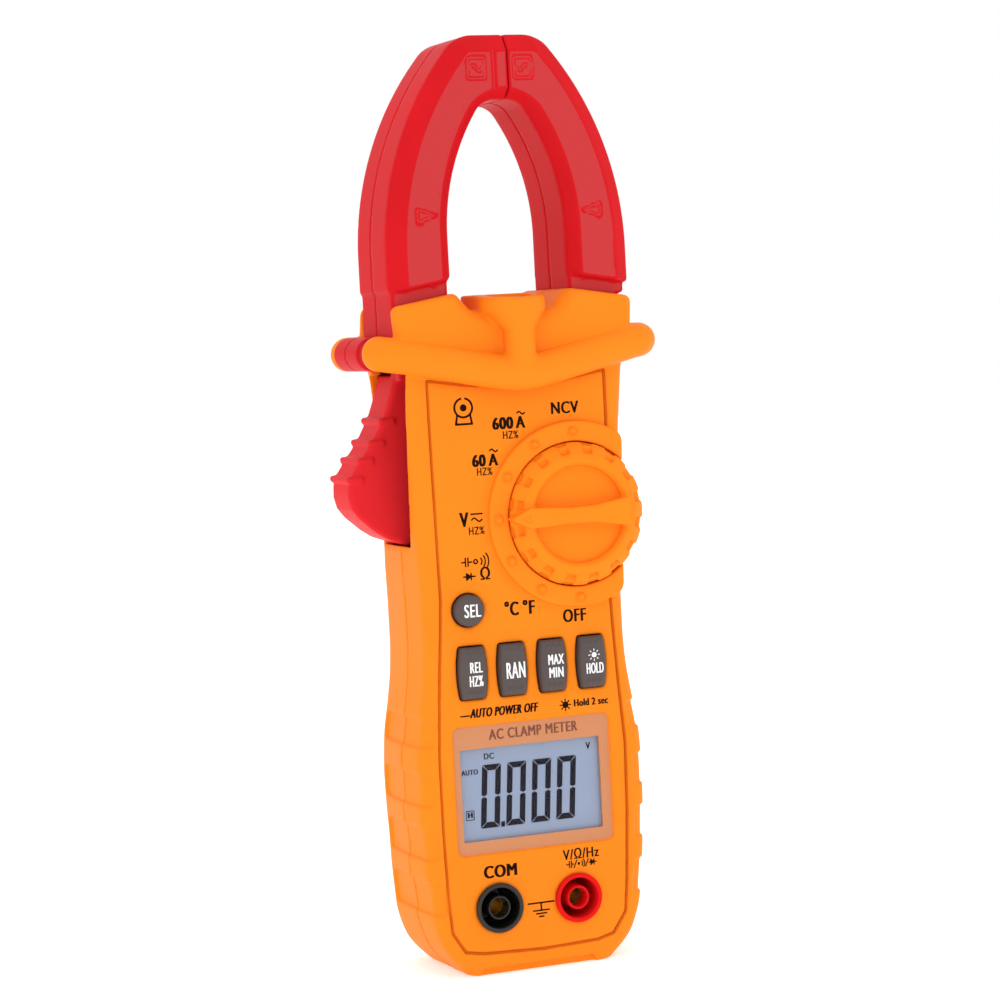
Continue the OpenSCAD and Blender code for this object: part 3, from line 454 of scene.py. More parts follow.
def jaw_pair(side, material):
    """Front and rear halves of one jaw: side 1 is the fixed jaw, -1 the moving one."""
    x0, x1 = (1, 29.5) if side > 0 else (-35.6, 2.2)
    g = Grid((x0, -13.4, 133.9), (x1, 11.8, 208), BODY_CELL)
    ax = (g.x - JAW_SHIFT) * side  # outwards from the middle
    outside = length(ax + 41.2, np.maximum(g.z - 160, 0)) - 69.7
    outside = both(outside, g.z - 207.8, 2.5)
    opening = length(ax + 35.4, np.maximum(g.z - 164, 0)) - 49.3
    inside = -both(opening, g.z - 193.5, 2)
    base = (154.4 - 0.17 * (ax - 13.9) - g.z) * 0.985
    solid = both(both(outside, inside, 0.3), both(-g.y - 13.3, g.y - 11.7))
    # the flat front and back are sunk a little inside a narrow border
    flat = both(both(outside + 4.4, inside + 3.1), base + 0.6)
    solid = cut(solid, both(flat, np.minimum(g.y + 13.12, 11.52 - g.y)))
    for face, depth, run, rise in ((outside, -g.y - 10.5, 3.9, 2.8), (inside, -g.y - 10.5, 2.6, 2.8),
                                   (outside, g.y - 9, 3.4, 2.7), (inside, g.y - 9, 2.6, 2.7)):
        solid = both(solid, bevel(face, depth, run, rise), 0.35)
    hollow = both(solid + WALL, -(g.z - 156.5))
    head = cut(both(solid, base, 0.9), hollow)
    seam = (SEAM_X + 0.1 - g.x) if side > 0 else (g.x - SEAM_X + 0.1)
    head = both(head, seam, 0.35)
    if side > 0:
        outline = [(14.4, 134), (24.5, 134), (24.5, 148.8), (27.6, 150), (27.6, 155), (14.4, 155)]
    else:
        outline = [(-16.3, 134), (-20.2, 134), (-24, 135.5), (-27.6, 138.6), (-27.6, 155), (-14.4, 155),
                   (-14.4, 137.8)]
    neck = both(polygon(g.x, g.z, outline), slab(g.y, -11, 9.4), 0.6)
    d = either(head, neck, 0.4)
    if side < 0:
        # groove along the seam, the guard's moving segment, pocket for the lever and hole for the pin
        groove_line = both(length(g.x + 1.7, g.y + 13.2) - 0.45, -(g.z - 190))
        d = cut(d, groove_line, 0.1)
        segment = both(length(g.x + GUARD_X, g.z - GUARD_Z) - GUARD_R + 0.1, slab(g.y, -8, 8.1), 0.4)
        web = both(both(slab(g.x, -31.6, -27), slab(g.z, 138.6, 141.6)), slab(g.y, -8, 8.1))
        d = either(d, either(segment, web, 0.3), 0.3)
        d = cut(d, both(both(slab(g.x, -24.1, -17.2), slab(g.z, 130, 147.1)), slab(g.y, -3.1, 3.1)))
        d = cut(d, length(g.x - PIVOT[0], g.z - PIVOT[1]) - PIN_R)
    # engraved outlines: a square with a wave near the tip and a triangle half way down
    across, above = ax - 5.5 + 0.75 * side, g.z - 200.3
    mark = np.abs(rounded_box(across, above, 2.1, 2.3, 0.2)) - 0.17
    ripple = [(k / 3, 0.8 * math.sin(0.8 * k)) for k in range(-4, 5)]
    mark = np.minimum(mark, polyline((across, above), ripple) - 0.17)
    arrow = polyline((ax, g.z), [(17.4, 168.5), (21.7, 170), (21.7, 167), (17.4, 168.5)]) - 0.18
    mark = np.minimum(mark, arrow)
    d = cut(d, both(mark, slab(g.y, -14, -12.75)), 0.05)
    name = "fixed_jaw" if side > 0 else "moving_jaw"
    body = "case" if side > 0 else "moving_jaw"
    for half, plane in (("front", g.y), ("rear", -g.y)):
        piece = solidify(f"{name}_{half}_shell", g, both(d, plane, SEAM_R))
        finish_piece(piece, body, "jaw_red", material, f"{name}_{half}")


def trigger(material):
    """Lever that opens the jaw: a ribbed plate and the arm that reaches the pivot."""
    g = Grid((-38, -3.2, 95), (-14, 12.5, 147.2), BODY_CELL)
    plate = both(polygon(g.x, g.z, TRIGGER), slab(g.y, -0.5, TRIGGER_BACK), 0.9)
    ribs = INFINITY
    for x, z in RIBS:
        bar = rounded_box(g.x - x - 1, g.z - z, 1.9, 0.75, 0.5)
        ribs = np.minimum(ribs, both(bar, slab(g.y, -1.1, TRIGGER_BACK + 0.3), 0.5))
    arm = both(both(slab(g.x, -24, -17.3), slab(g.z, 132.6, 147)), slab(g.y, -3, 3))
    d = either(either(plate, ribs, 0.35), arm, 0.3)
    d = cut(d, length(g.x - PIVOT[0], g.z - PIVOT[1]) - PIN_R)
    piece = solidify("trigger_skin", g, d)
    finish_piece(piece, "moving_jaw", "trigger_red", material, "trigger_lever")


def knob(material):
    """Selector knob: a notched dish with a pointed grip bar across it."""
    g = Grid((-4.7, -17.5, 85), (28.5, -5.2, 117.2), FINE)
    x, z = g.x - KNOB_X, g.z - KNOB_Z
    r = length(x, z)
    dish_r = 10.8
    profile = [(0, -9), (KNOB_R, -9), (KNOB_R, -13.4), (KNOB_R - 0.9, -14.3), (KNOB_R - 2.6, -15.5),
               (KNOB_R - 4.2, -16), (dish_r + 0.6, -15.7), (dish_r, -15.1), (dish_r, -14), (0, -14)]
    d = polygon(r, g.y, profile)
    for k in range(KNOB_NOTCHES):
        a = 2 * math.pi * (k + 0.5) / KNOB_NOTCHES
        along, across = x * math.cos(a) + z * math.sin(a), z * math.cos(a) - x * math.sin(a)
        notch = both(both(slab(across, -1.05, 1.05), -(along - KNOB_R + 2.4)), slab(g.y, -20, -13.9), 0.3)
        side = both(both(slab(across, -1.2, 1.2), -(along - KNOB_R + 0.6), 0.4), g.y + 12.6)
        d = cut(cut(d, notch, 0.3), side, 0.5)
    bar = polygon(x, z, [(-17, 0), (-16.4, 0.5), (-12.5, 2.3), (-8, 2.1), (-3, 1.75), (3, 1.9),
                         (11, 3.2), (11.6, 2.9), (11.6, -2.9), (11, -3.2), (3, -1.9), (-3, -1.75),
                         (-8, -2.1), (-12.5, -2.3), (-16.4, -0.5)])
    bar = both(bar, slab(g.y, -17.4, -13.5), 0.45)
    d = either(d, bar, 0.3)
    arrow = polygon(x, z, [(-15.2, 0), (-12.5, 1.1), (-12.5, -1.1)])
    d = cut(d, both(arrow, g.y + 17.05), 0.1)
    d = either(d, both(r - 4, slab(g.y, -9.2, -5.3)))
    piece = solidify("selector_knob_skin", g, d)
    finish_piece(piece, "selector", "knob_orange", material, "selector_knob")


def bar_key(name, x0, material):
    """Barrel-shaped key with a hollowed crown, two rows of dots and a flange behind the cover."""
    g = Grid((x0 - 4.6, -13.6, KEY_Z - 7.2), (x0 + 4.6, -8.7, KEY_Z + 7.2), KEY_CELL)
    x, z = g.x - x0, g.z - KEY_Z
    crown = KEY_TOP + 0.035 * x * x + 0.006 * z * z
    d = both(both(polygon(x, z, key_outline(0)), crown - g.y, 0.9), g.y + 9)
    flange = both(polygon(x, z, key_outline(0.7)), slab(g.y, -10, -8.7))
    d = either(d, flange)
    for row in (-1, 1):
        for column in (-1, 0, 1):
            dot = length(x - 1.3 * column, z - 4.3 * row, g.y + 13.2) - 0.5
            d = either(d, dot, 0.1)
    piece = solidify(f"{name}_skin", g, d)
    finish_piece(piece, name.replace("_button", "_key"), "key_grey", material, name)


def round_key(material):
    """Round key with a flange behind the cover."""
    g = Grid((SEL_X - 4.7, -13.6, SEL_Z - 4.7), (SEL_X + 4.7, -8.7, SEL_Z + 4.7), KEY_CELL)
    r = length(g.x - SEL_X, g.z - SEL_Z)
    d = both(both(r - SEL_R, KEY_TOP + 0.012 * r * r - g.y, 0.9), g.y + 9)
    d = either(d, both(r - SEL_R - 0.7, slab(g.y, -10, -8.7)))
    piece = solidify("sel_button_skin", g, d)
    finish_piece(piece, "sel_key", "key_grey", material, "sel_button")


def socket(name, x0, slot, material):
    """Shrouded jack: a rim on the face, a ring-shaped well and a bored post."""
    g = Grid((x0 - 5.7, -12.8, JACK_Z - 5.7), (x0 + 5.7, 6.6, JACK_Z + 5.7), THIN_CELL)
    r = length(g.x - x0, g.z - JACK_Z)
    d = both(r - 5.6, slab(g.y, -12.7, -12), 0.3)
    d = either(d, both(r - 5.1, slab(g.y, -12, 6.5)))
    well = both(slab(r, 2.75, 4.5), slab(g.y, -20, -0.5))
    d = cut(d, well, 0.25)
    d = cut(d, both(r - 2.75, g.y + 12.2))
    d = cut(d, both(r - 2.1, g.y + 8), 0.3)
    d = cut(d, both(r - 2.6, slab(g.y, -8, 5.2)))
    piece = solidify(f"{name}_socket_skin", g, d)
    finish_piece(piece, "case", slot, material, f"{name}_socket")


# ---------------------------------------------------------------- materials


def srgb(r, g, b):
    """Linear colour of an 8-bit sRGB one."""
    values = []
    for v in (r, g, b):
        c = v / 255
        values.append(c / 12.92 if c <= 0.04045 else ((c + 0.055) / 1.055) ** 2.4)
    return (*values, 1)


def new_material(name):
    """A node material, its tree and its surface node."""
    material = bpy.data.materials.new(name)
    material.use_nodes = True
    tree = material.node_tree
    return material, tree, tree.nodes["Principled BSDF"]


def add_noise(tree, scale, detail=3.0, stretch=(1, 1, 1)):
    """Noise in object coordinates; the result is its factor."""
    place = tree.nodes.new("ShaderNodeTexCoord")
    mapping = tree.nodes.new("ShaderNodeMapping")
    mapping.inputs["Scale"].default_value = stretch
    noise = tree.nodes.new("ShaderNodeTexNoise")
    noise.inputs["Scale"].default_value = scale
    noise.inputs["Detail"].default_value = detail
    tree.links.new(place.outputs["Object"], mapping.inputs["Vector"])
    tree.links.new(mapping.outputs["Vector"], noise.inputs["Vector"])
    return noise.outputs["Fac"]


def remap(tree, value, low, high):
    """Noise, which mostly stays between 0.3 and 0.7, spread over low to high."""
    node = tree.nodes.new("ShaderNodeMapRange")
    node.inputs["From Min"].default_value = 0.3
    node.inputs["From Max"].default_value = 0.7
    node.inputs["To Min"].default_value = low
    node.inputs["To Max"].default_value = high
    tree.links.new(value, node.inputs["Value"])
    return node.outputs["Result"]


def moulded(name, colour, roughness=0.4, grain=3500, bump=0.05, shift=0.06, spread=0.08, coat=0.0,
            metal=0.0, stretch=(1, 1, 1), specular=0.04):
    """Moulded plastic or metal: fine grain in the bump, soft variation in colour and roughness."""
    material, tree, bsdf = new_material(name)
    cloud = add_noise(tree, 60, 4, stretch)
    fine = add_noise(tree, grain, 2, stretch)
    mix = tree.nodes.new("ShaderNodeMix")
    mix.data_type = "RGBA"
    mix.inputs["A"].default_value = [c * (1 - shift) for c in colour[:3]] + [1]
    mix.inputs["B"].default_value = [min(c * (1 + shift), 1) for c in colour[:3]] + [1]
    tree.links.new(remap(tree, cloud, 0, 1), mix.inputs["Factor"])
    tree.links.new(mix.outputs["Result"], bsdf.inputs["Base Color"])
    rough = remap(tree, cloud, roughness - spread / 2, roughness + spread / 2)
    tree.links.new(rough, bsdf.inputs["Roughness"])
    bsdf.inputs["Metallic"].default_value = metal
    bsdf.inputs["Coat Weight"].default_value = coat
    bsdf.inputs["Specular IOR Level"].default_value = specular
    node = tree.nodes.new("ShaderNodeBump")
    node.inputs["Strength"].default_value = bump
    node.inputs["Distance"].default_value = 0.0002
    tree.links.new(fine, node.inputs["Height"])
    tree.links.new(node.outputs["Normal"], bsdf.inputs["Normal"])
    return material


def jaw_material():
    """Red moulding whose flat front and back are paler and rougher than its flanks."""
    material = moulded("jaw_red_moulding", srgb(206, 24, 32), 0.42, 3000, 0.04, specular=0.035)
    tree = material.node_tree
    bsdf = tree.nodes["Principled BSDF"]
    place = tree.nodes.new("ShaderNodeTexCoord")
    split = tree.nodes.new("ShaderNodeSeparateXYZ")
    flat = tree.nodes.new("ShaderNodeMath")
    flat.operation = "ABSOLUTE"
    mask = tree.nodes.new("ShaderNodeMapRange")
    mask.inputs["From Min"].default_value = 0.975
    mask.inputs["From Max"].default_value = 0.995
    tree.links.new(place.outputs["Normal"], split.inputs["Vector"])
    tree.links.new(split.outputs["Y"], flat.inputs[0])
    tree.links.new(flat.outputs["Value"], mask.inputs["Value"])
    pale = tree.nodes.new("ShaderNodeMix")
    pale.data_type = "RGBA"
    colour_link = bsdf.inputs["Base Color"].links[0].from_socket
    tree.links.new(mask.outputs["Result"], pale.inputs["Factor"])
    tree.links.new(colour_link, pale.inputs["A"])
    pale.inputs["B"].default_value = srgb(196, 58, 60)
    tree.links.new(pale.outputs["Result"], bsdf.inputs["Base Color"])
    rough = tree.nodes.new("ShaderNodeMix")
    rough.data_type = "FLOAT"
    tree.links.new(mask.outputs["Result"], rough.inputs["Factor"])
    tree.links.new(bsdf.inputs["Roughness"].links[0].from_socket, rough.inputs["A"])
    rough.inputs["B"].default_value = 0.6
    tree.links.new(rough.outputs["Result"], bsdf.inputs["Roughness"])
    return material


def clear_material(name, colour, alpha, roughness):
    """Clear sheet, nearly all of it see-through."""
    material, tree, bsdf = new_material(name)
    bsdf.inputs["Specular IOR Level"].default_value = 0.12
    bsdf.inputs["Base Color"].default_value = colour
    bsdf.inputs["Alpha"].default_value = alpha
    rough = remap(tree, add_noise(tree, 90, 3), roughness, roughness + 0.03)
    tree.links.new(rough, bsdf.inputs["Roughness"])
    return material


# name, colour, roughness, grain, bump, shift of the colour, spread of the roughness
housing = moulded("housing_orange_moulding", srgb(247, 134, 30), 0.42, 2600, 0.05, 0.03)
knob_skin = moulded("knob_orange_moulding", srgb(248, 135, 29), 0.38, 3200, 0.03, 0.03)
jaw_red = jaw_material()
trigger_red = moulded("trigger_red_moulding", srgb(220, 40, 46), 0.36, 3000, 0.03, specular=0.02)
key_rubber = moulded("key_grey_rubber", srgb(82, 72, 70), 0.42, 4200, 0.06, specular=0.3)
jack_black = moulded("jack_black_moulding", srgb(28, 24, 22), 0.3, 3000, 0.03, specular=0.4)
jack_red = moulded("jack_red_moulding", srgb(224, 24, 24), 0.3, 3000, 0.03)
ink = moulded("ink_dark", srgb(30, 16, 8), 0.55, 5000, 0.02)
ink_white = moulded("ink_white", srgb(245, 245, 245), 0.5, 5000, 0.02, 0.01)
ink_brown = moulded("ink_brown", srgb(128, 70, 50), 0.55, 5000, 0.02)
display_border = moulded("display_border_print", srgb(204, 136, 90), 0.45, 2500, 0.02, 0.03)
lcd_film = moulded("lcd_film", srgb(142, 157, 182), 0.22, 1500, 0.01, 0.02, 0.04, coat=0.3)
lcd_ink = moulded("lcd_ink", srgb(4, 6, 20), 0.6, 3000, 0.01, specular=0)
lens = clear_material("lens_clear_sheet", srgb(200, 190, 200), 0.02, 0.06)
# darker orange for the strip in the panel's groove: painted shade
groove = moulded("groove_painted_shade", srgb(206, 96, 22), 0.6, 3000, 0.01)
steel = moulded("steel_plated", srgb(196, 198, 200), 0.3, 1600, 0.05, 0.05, 0.1, metal=1,
                stretch=(1, 8, 1))
brass = moulded("brass_plated", srgb(214, 180, 104), 0.3, 1600, 0.04, 0.05, 0.1, metal=1)
board = moulded("board_green_mask", srgb(28, 110, 60), 0.35, 900, 0.05, 0.15)
black_part = moulded("component_black_moulding", srgb(34, 34, 36), 0.5, 2500, 0.08)
cell_skin = moulded("cell_sleeve", srgb(60, 96, 84), 0.3, 1200, 0.02, 0.08, 0.08, coat=0.2)
iron = moulded("iron_laminations", srgb(120, 122, 128), 0.45, 900, 0.25, 0.1, 0.1, metal=0.8,
               stretch=(1, 12, 1))
copper = moulded("copper_winding", srgb(186, 104, 56), 0.4, 700, 0.3, 0.12, 0.1, metal=0.7,
                 stretch=(1, 1, 10))
white_part = moulded("white_moulding", srgb(232, 232, 226), 0.45, 2500, 0.04, 0.02)
zebra = moulded("zebra_rubber_strip", srgb(52, 52, 58), 0.7, 900, 0.1, 0.3, 0.1, stretch=(12, 1, 1))

NODE_MATERIALS = {
    lcd_film: ["lcd_panel"], white_part: ["lcd_frame", "switch_rotor"], zebra: ["zebra_strips"],
    board: ["main_pcb"], black_part: ["circuit_components", "tact_switches", "buzzer"],
    steel: ["battery_door_screw", "case_screws", "pcb_screws", "battery_contacts", "pivot_pin",
            "return_spring", "detent_balls", "detent_springs"],
    brass: ["com_contact", "volt_contact", "wiper_contacts"], cell_skin: ["batteries"],
    iron: ["fixed_core", "moving_core"], copper: ["fixed_coil", "moving_coil"],
}
for material, names in NODE_MATERIALS.items():
    for name in names:
        nodes[name].data.materials.clear()
        nodes[name].data.materials.append(material)

# ---------------------------------------------------------------- moulded pieces

front_cover(housing)
rear_cover(housing)
battery_door(housing)
jaw_pair(1, jaw_red)
jaw_pair(-1, jaw_red)
trigger(trigger_red)
knob(knob_skin)
for key_name, key_x in zip(("rel_button", "range_button", "maxmin_button", "hold_button"), KEY_XS):
    bar_key(key_name, key_x, key_rubber)
round_key(key_rubber)
socket("com", JACKS["com"], "jack_black", jack_black)
socket("volt", JACKS["volt"], "jack_red", jack_red)

# ---------------------------------------------------------------- window and display


def flat_shapes(name, shapes, y0, y1, body, slot, material):
    """Thin plates in the XZ plane between y0 and y1, one for each outline."""
    verts, faces = [], []
    for outline in shapes:
        n, base = len(outline), len(verts)
        verts += [(x * MM, y0 * MM, z * MM) for x, z in outline]
        verts += [(x * MM, y1 * MM, z * MM) for x, z in outline]
        faces.append([base + k for k in range(n)])
        faces.append([base + n + k for k in reversed(range(n))])
        faces += [[base + (k + 1) % n, base + k, base + n + k, base + n + (k + 1) % n] for k in range(n)]
    obj = mesh_object(name, verts, faces)
    obj.data.shade_flat()
    finish_piece(obj, body, slot, material)


def ribbon(outline, half):
    """One plate for each side of a closed outline, reaching half of the width to either side of it."""
    plates = []
    for a, b in zip(outline, outline[1:] + outline[:1]):
        run = math.dist(a, b)
        nx, nz = (a[1] - b[1]) * half / run, (b[0] - a[0]) * half / run
        plates.append([(a[0] + nx, a[1] + nz), (a[0] - nx, a[1] - nz), (b[0] - nx, b[1] - nz),
                       (b[0] + nx, b[1] + nz)])
    return plates


def window():
    """Clear sheet over the display."""
    x, z, w, h = LENS
    g = Grid((x - w / 2, -12, z - h / 2), (x + w / 2, -11, z + h / 2), THIN_CELL)
    sheet = rounded_box(g.x - x, g.z - z, w / 2, h / 2, 1.5)
    d = both(sheet, slab(g.y, -11.98, -11.2), 0.3)
    piece = solidify("window_sheet", g, d)
    finish_piece(piece, "case", "lens_clear", lens, "display_window")


def window_border():
    """Print behind the sheet's edge: four strips round the view."""
    x, z, w, h = LENS
    lap = 0.1
    left, right, low, high = x - w / 2 - lap, x + w / 2 + lap, z - h / 2 - lap, z + h / 2 + lap
    x, z, w, h = VIEW
    view_left, view_right, view_low, view_high = x - w / 2, x + w / 2, z - h / 2, z + h / 2
    flat_shapes("window_border", [
        [(left, low), (right, low), (right, view_low), (left, view_low)],
        [(left, view_high), (right, view_high), (right, high), (left, high)],
        [(left, view_low), (view_left, view_low), (view_left, view_high), (left, view_high)],
        [(view_right, view_low), (right, view_low), (right, view_high), (view_right, view_high)],
    ], -11.15, -10.95, "case", "lens_clear", display_border)


window()
window_border()

LCD_Y = -10.1
LCD_LEAN = 0.075
DIGIT_X, DIGIT_Z = -12.53, 32.7
DIGIT_PITCH = 6.03
DIGIT_SIZE = (4.5, 14.1)
SEGMENT_WIDTH = 1.3


def digit(x0, z0):
    """The six outer segments of a leaning zero, mitred at its corners."""
    w, h = DIGIT_SIZE
    t = SEGMENT_WIDTH
    gap = 0.08
    left_low = [(0, 2 * gap), (t, t + gap), (t, h / 2 - 0.45), (t * 0.45, h / 2 - gap), (0, h / 2 - 0.4)]
    low = [(2 * gap, 0), (w - 2 * gap, 0), (w - t - gap, t), (t + gap, t)]
    halves = [left_low, [(w - x, z) for x, z in reversed(left_low)], low]
    halves += [[(x, h - z) for x, z in reversed(part)] for part in halves]
    return [[(x0 + x + LCD_LEAN * (z - h / 2), z0 + z) for x, z in part] for part in halves]


digits = []
for place in range(4):
    digits += digit(DIGIT_X + DIGIT_PITCH * place, DIGIT_Z)
# the decimal point
digits.append([(-8.25, 32.6), (-7.35, 32.6), (-7.25, 33.8), (-8.15, 33.8)])
flat_shapes("lcd_digits", digits, LCD_Y - 0.06, LCD_Y + 0.02, "case", "lcd_glass", lcd_ink)

# ---------------------------------------------------------------- lettering

PANEL_Y = PANEL_DEPTH - 12
KEY_TEXT_Y = KEY_TOP + 0.01
LCD_TEXT_Y = LCD_Y - 0.02
CAPITALS = 0.73  # height of the font's capitals at size 1
LETTER_SPACING = 1.12
PRINT_HALF = 0.035  # half the thickness of the print


def text(name, words, x, z, height, width=0.8, bold=0.0, lean=0.0, y=PANEL_Y, body="case",
         slot="housing_orange", material=ink):
    """Raised print: words centred on (x, z), capitals `height` tall, squeezed to `width`.

    bold is how far a second and third copy of the letters stand to either side, to thicken their strokes.
    """
    curve = bpy.data.curves.new(name, "FONT")
    curve.body = words
    curve.size = height / CAPITALS * MM
    curve.align_x = "CENTER"
    curve.align_y = "CENTER"
    curve.space_character = LETTER_SPACING
    curve.extrude = PRINT_HALF * MM
    curve.shear = lean
    curve.resolution_u = 4
    maker = bpy.data.objects.new(name, curve)
    mesh = bpy.data.meshes.new_from_object(maker)
    mesh.name = name
    place = Matrix.Translation(Vector((x, y, z)) * MM) @ Matrix.Rotation(math.pi / 2, 4, "X")
    mesh.transform(place @ Matrix.Diagonal((width, 1, 1, 1)))
    letters = bmesh.new()
    # the side copies stand a little further back, so that no two faces share a plane
    for shift in (0, -bold, bold) if bold else (0,):
        copy = mesh.copy()
        copy.transform(Matrix.Translation(Vector((shift, abs(shift) * 0.02, 0)) * MM))
        letters.from_mesh(copy)
        bpy.data.meshes.remove(copy)
    letters.to_mesh(mesh)
    letters.free()
    bpy.data.objects.remove(maker)
    bpy.data.curves.remove(curve)
    obj = bpy.data.objects.new(name, mesh)
    bpy.context.scene.collection.objects.link(obj)
    mesh.materials.clear()
    finish_piece(obj, body, slot, material)


LABELS = [  # name, words, x, z, height, width, bold
    ("label_ncv", "NCV", 11.4, 124.7, 2.8, 0.78, 0.13),
    ("label_600a", "600", -3.5, 122.1, 2.8, 0.78, 0.2),
    ("label_600a_unit", "A", 0.7, 122.1, 2.8, 0.78, 0.17),
    ("label_600a_hz", "HZ%", -1.8, 119.5, 1.8, 0.7, 0.04),
    ("label_60a", "60", -9.6, 114.2, 2.8, 0.76, 0.2),
    ("label_60a_unit", "A", -6.2, 114.2, 2.8, 0.78, 0.17),
    ("label_60a_hz", "HZ%", -8.4, 111.8, 1.8, 0.7, 0.04),
    ("label_v", "V", -13.8, 101.4, 3.4, 0.66, 0.17),
    ("label_v_hz", "HZ%", -11, 98.9, 1.8, 0.7, 0.04),
    ("label_ohm", "Ω", -9.5, 89.2, 2.8, 0.85, 0.11),
    ("label_celsius", "°C", -3.7, 80.9, 3.2, 0.66, 0.18),
    ("label_fahrenheit", "°F", 0.4, 80.9, 3.2, 0.7, 0.18),
    ("label_off", "OFF", 11.3, 78.2, 3, 0.72, 0.14),
    ("label_com", "COM", -9.55, 23, 2.9, 0.82, 0.2),
    ("label_vohm", "V/Ω/Hz", 9.9, 24.7, 2.4, 0.78, 0.08),
]
for name, words, x, z, height, width, bold in LABELS:
    text(name, words, x, z, height, width, bold)
text("label_auto_off", "AUTO POWER OFF", -6.8, 58.6, 2.1, 0.59, 0.13, 0.25)
text("label_two_seconds", "Hold 2 sec", 14.2, 58.6, 1.7, 0.73, 0.11)
text("label_window", "AC CLAMP METER", 0.2, 53.4, 2.4, 0.725, 0.1, y=-11.16, slot="lens_clear",
     material=ink_brown)
LCD_LABELS = [  # name, words, x, z, height, width, bold
    ("lcd_dc", "DC", -10.3, 48.6, 1.4, 0.85, 0.06),
    ("lcd_auto", "AUTO", -15, 45.4, 1.2, 0.8, 0.06),
    ("lcd_unit", "V", 13.6, 48.5, 1.6, 0.75, 0.08),
    ("lcd_hold", "H", -15.4, 35.9, 1.3, 0.9, 0.14),
]
for name, words, x, z, height, width, bold in LCD_LABELS:
    text(name, words, x, z, height, width, bold, y=LCD_TEXT_Y, slot="lcd_glass", material=lcd_ink)
KEY_LABELS = [  # name, words, x, z, height, width, moving body
    ("print_sel", "SEL", SEL_X + 0.4, SEL_Z - 0.2, 3, 0.6, "sel_key"),
    ("print_rel", "REL", KEY_XS[0] + 0.35, 68.9, 2.5, 0.5, "rel_key"),
    ("print_rel_hz", "HZ%", KEY_XS[0] + 0.25, 65.9, 2.5, 0.43, "rel_key"),
    ("print_range", "RAN", KEY_XS[1] + 0.2, KEY_Z - 0.3, 3.8, 0.41, "range_key"),
    ("print_max", "MAX", KEY_XS[2] + 0.35, 69, 2.4, 0.5, "maxmin_key"),
    ("print_min", "MIN", KEY_XS[2] + 0.35, 66.1, 2.4, 0.56, "maxmin_key"),
    ("print_hold", "HOLD", KEY_XS[3] + 0.2, 66.2, 2.5, 0.41, "hold_key"),
]
for name, words, x, z, height, width, body in KEY_LABELS:
    text(name, words, x, z, height, width, 0.08, y=KEY_TEXT_Y, body=body, slot="key_grey",
         material=ink_white)


def strokes(name, paths, weight, dots=(), y=PANEL_Y, body="case", slot="housing_orange", material=ink):
    """Drawn symbols: paths of one weight, and filled dots, as thin closed plates."""
    points = [p for path in paths for p in path] + [(x, z) for x, z, r in dots]
    low = (min(p[0] for p in points) - 1, y - 0.08, min(p[1] for p in points) - 1)
    high = (max(p[0] for p in points) + 1, y + 0.08, max(p[1] for p in points) + 1)
    g = Grid(low, high, MARK_CELL)
    d = INFINITY
    for path in paths:
        d = np.minimum(d, polyline((g.x, g.z), path) - weight / 2)
    for x, z, r in dots:
        d = np.minimum(d, length(g.x - x, g.z - z) - r)
    piece = solidify(name, g, both(d, slab(g.y, y - 0.05, y + 0.1)), 0, 0.05)
    finish_piece(piece, body, slot, material)


def ring(x, z, r, start=0, end=360, steps=12):
    """Arc round (x, z) between two angles in degrees."""
    angles = [math.radians(start + (end - start) * k / steps) for k in range(steps + 1)]
    return [(x + r * math.cos(a), z + r * math.sin(a)) for a in angles]


def wave(x, z, half, height):
    """One period of a sine, reaching half to either side of (x, z)."""
    return [(x + half * (k / 6 - 1), z + height * math.sin(math.pi * k / 6)) for k in range(13)]


def sun(x, z, inner, outer):
    """Eight rays round (x, z)."""
    rays = []
    for k in range(8):
        a = math.pi / 4 * k
        rays.append([(x + r * math.cos(a), z + r * math.sin(a)) for r in (inner, outer)])
    return rays


# alternating and direct current, a capacitor, a buzzer and a diode
strokes("marks_selector", [
    wave(0.9, 124.3, 0.9, 0.3), wave(-6, 116.4, 0.9, 0.3), [(-12.1, 102.7), (-9.5, 102.7)],
    wave(-10.8, 101.4, 1.2, 0.4), [(-14.9, 92.2), (-14, 92.2)], [(-14, 93.1), (-14, 91.3)],
    [(-13.4, 93.1), (-13.4, 91.3)], [(-13.4, 92.2), (-12.5, 92.2)], ring(-11.6, 92.2, 0.45),
    ring(-11.2, 92.2, 1.1, -38, 38, 6), ring(-11.2, 92.2, 1.9, -38, 38, 6),
    ring(-11.2, 92.2, 2.7, -38, 38, 6), [(-14.6, 89), (-11.9, 89)],
    [(-13.9, 89.7), (-13.9, 88.3), (-12.9, 89), (-13.9, 89.7)], [(-12.8, 89.7), (-12.8, 88.3)],
], 0.36, [(-13.55, 89, 0.3)])
# a darker strip along the groove round the panel, as painted shade
flat_shapes("panel_line", ribbon(PANEL_LINE, LINE_SHADE_HALF), PANEL_Y - 0.02, PANEL_Y + 0.2,
            "case", "housing_orange", groove)
strokes("marks_sun", sun(8, 58.5, 0.9, 1.3), 0.3, [(8, 58.5, 0.75)])
strokes("marks_auto", [[(-17, 58.3), (-14.9, 58.3)]], 0.36)
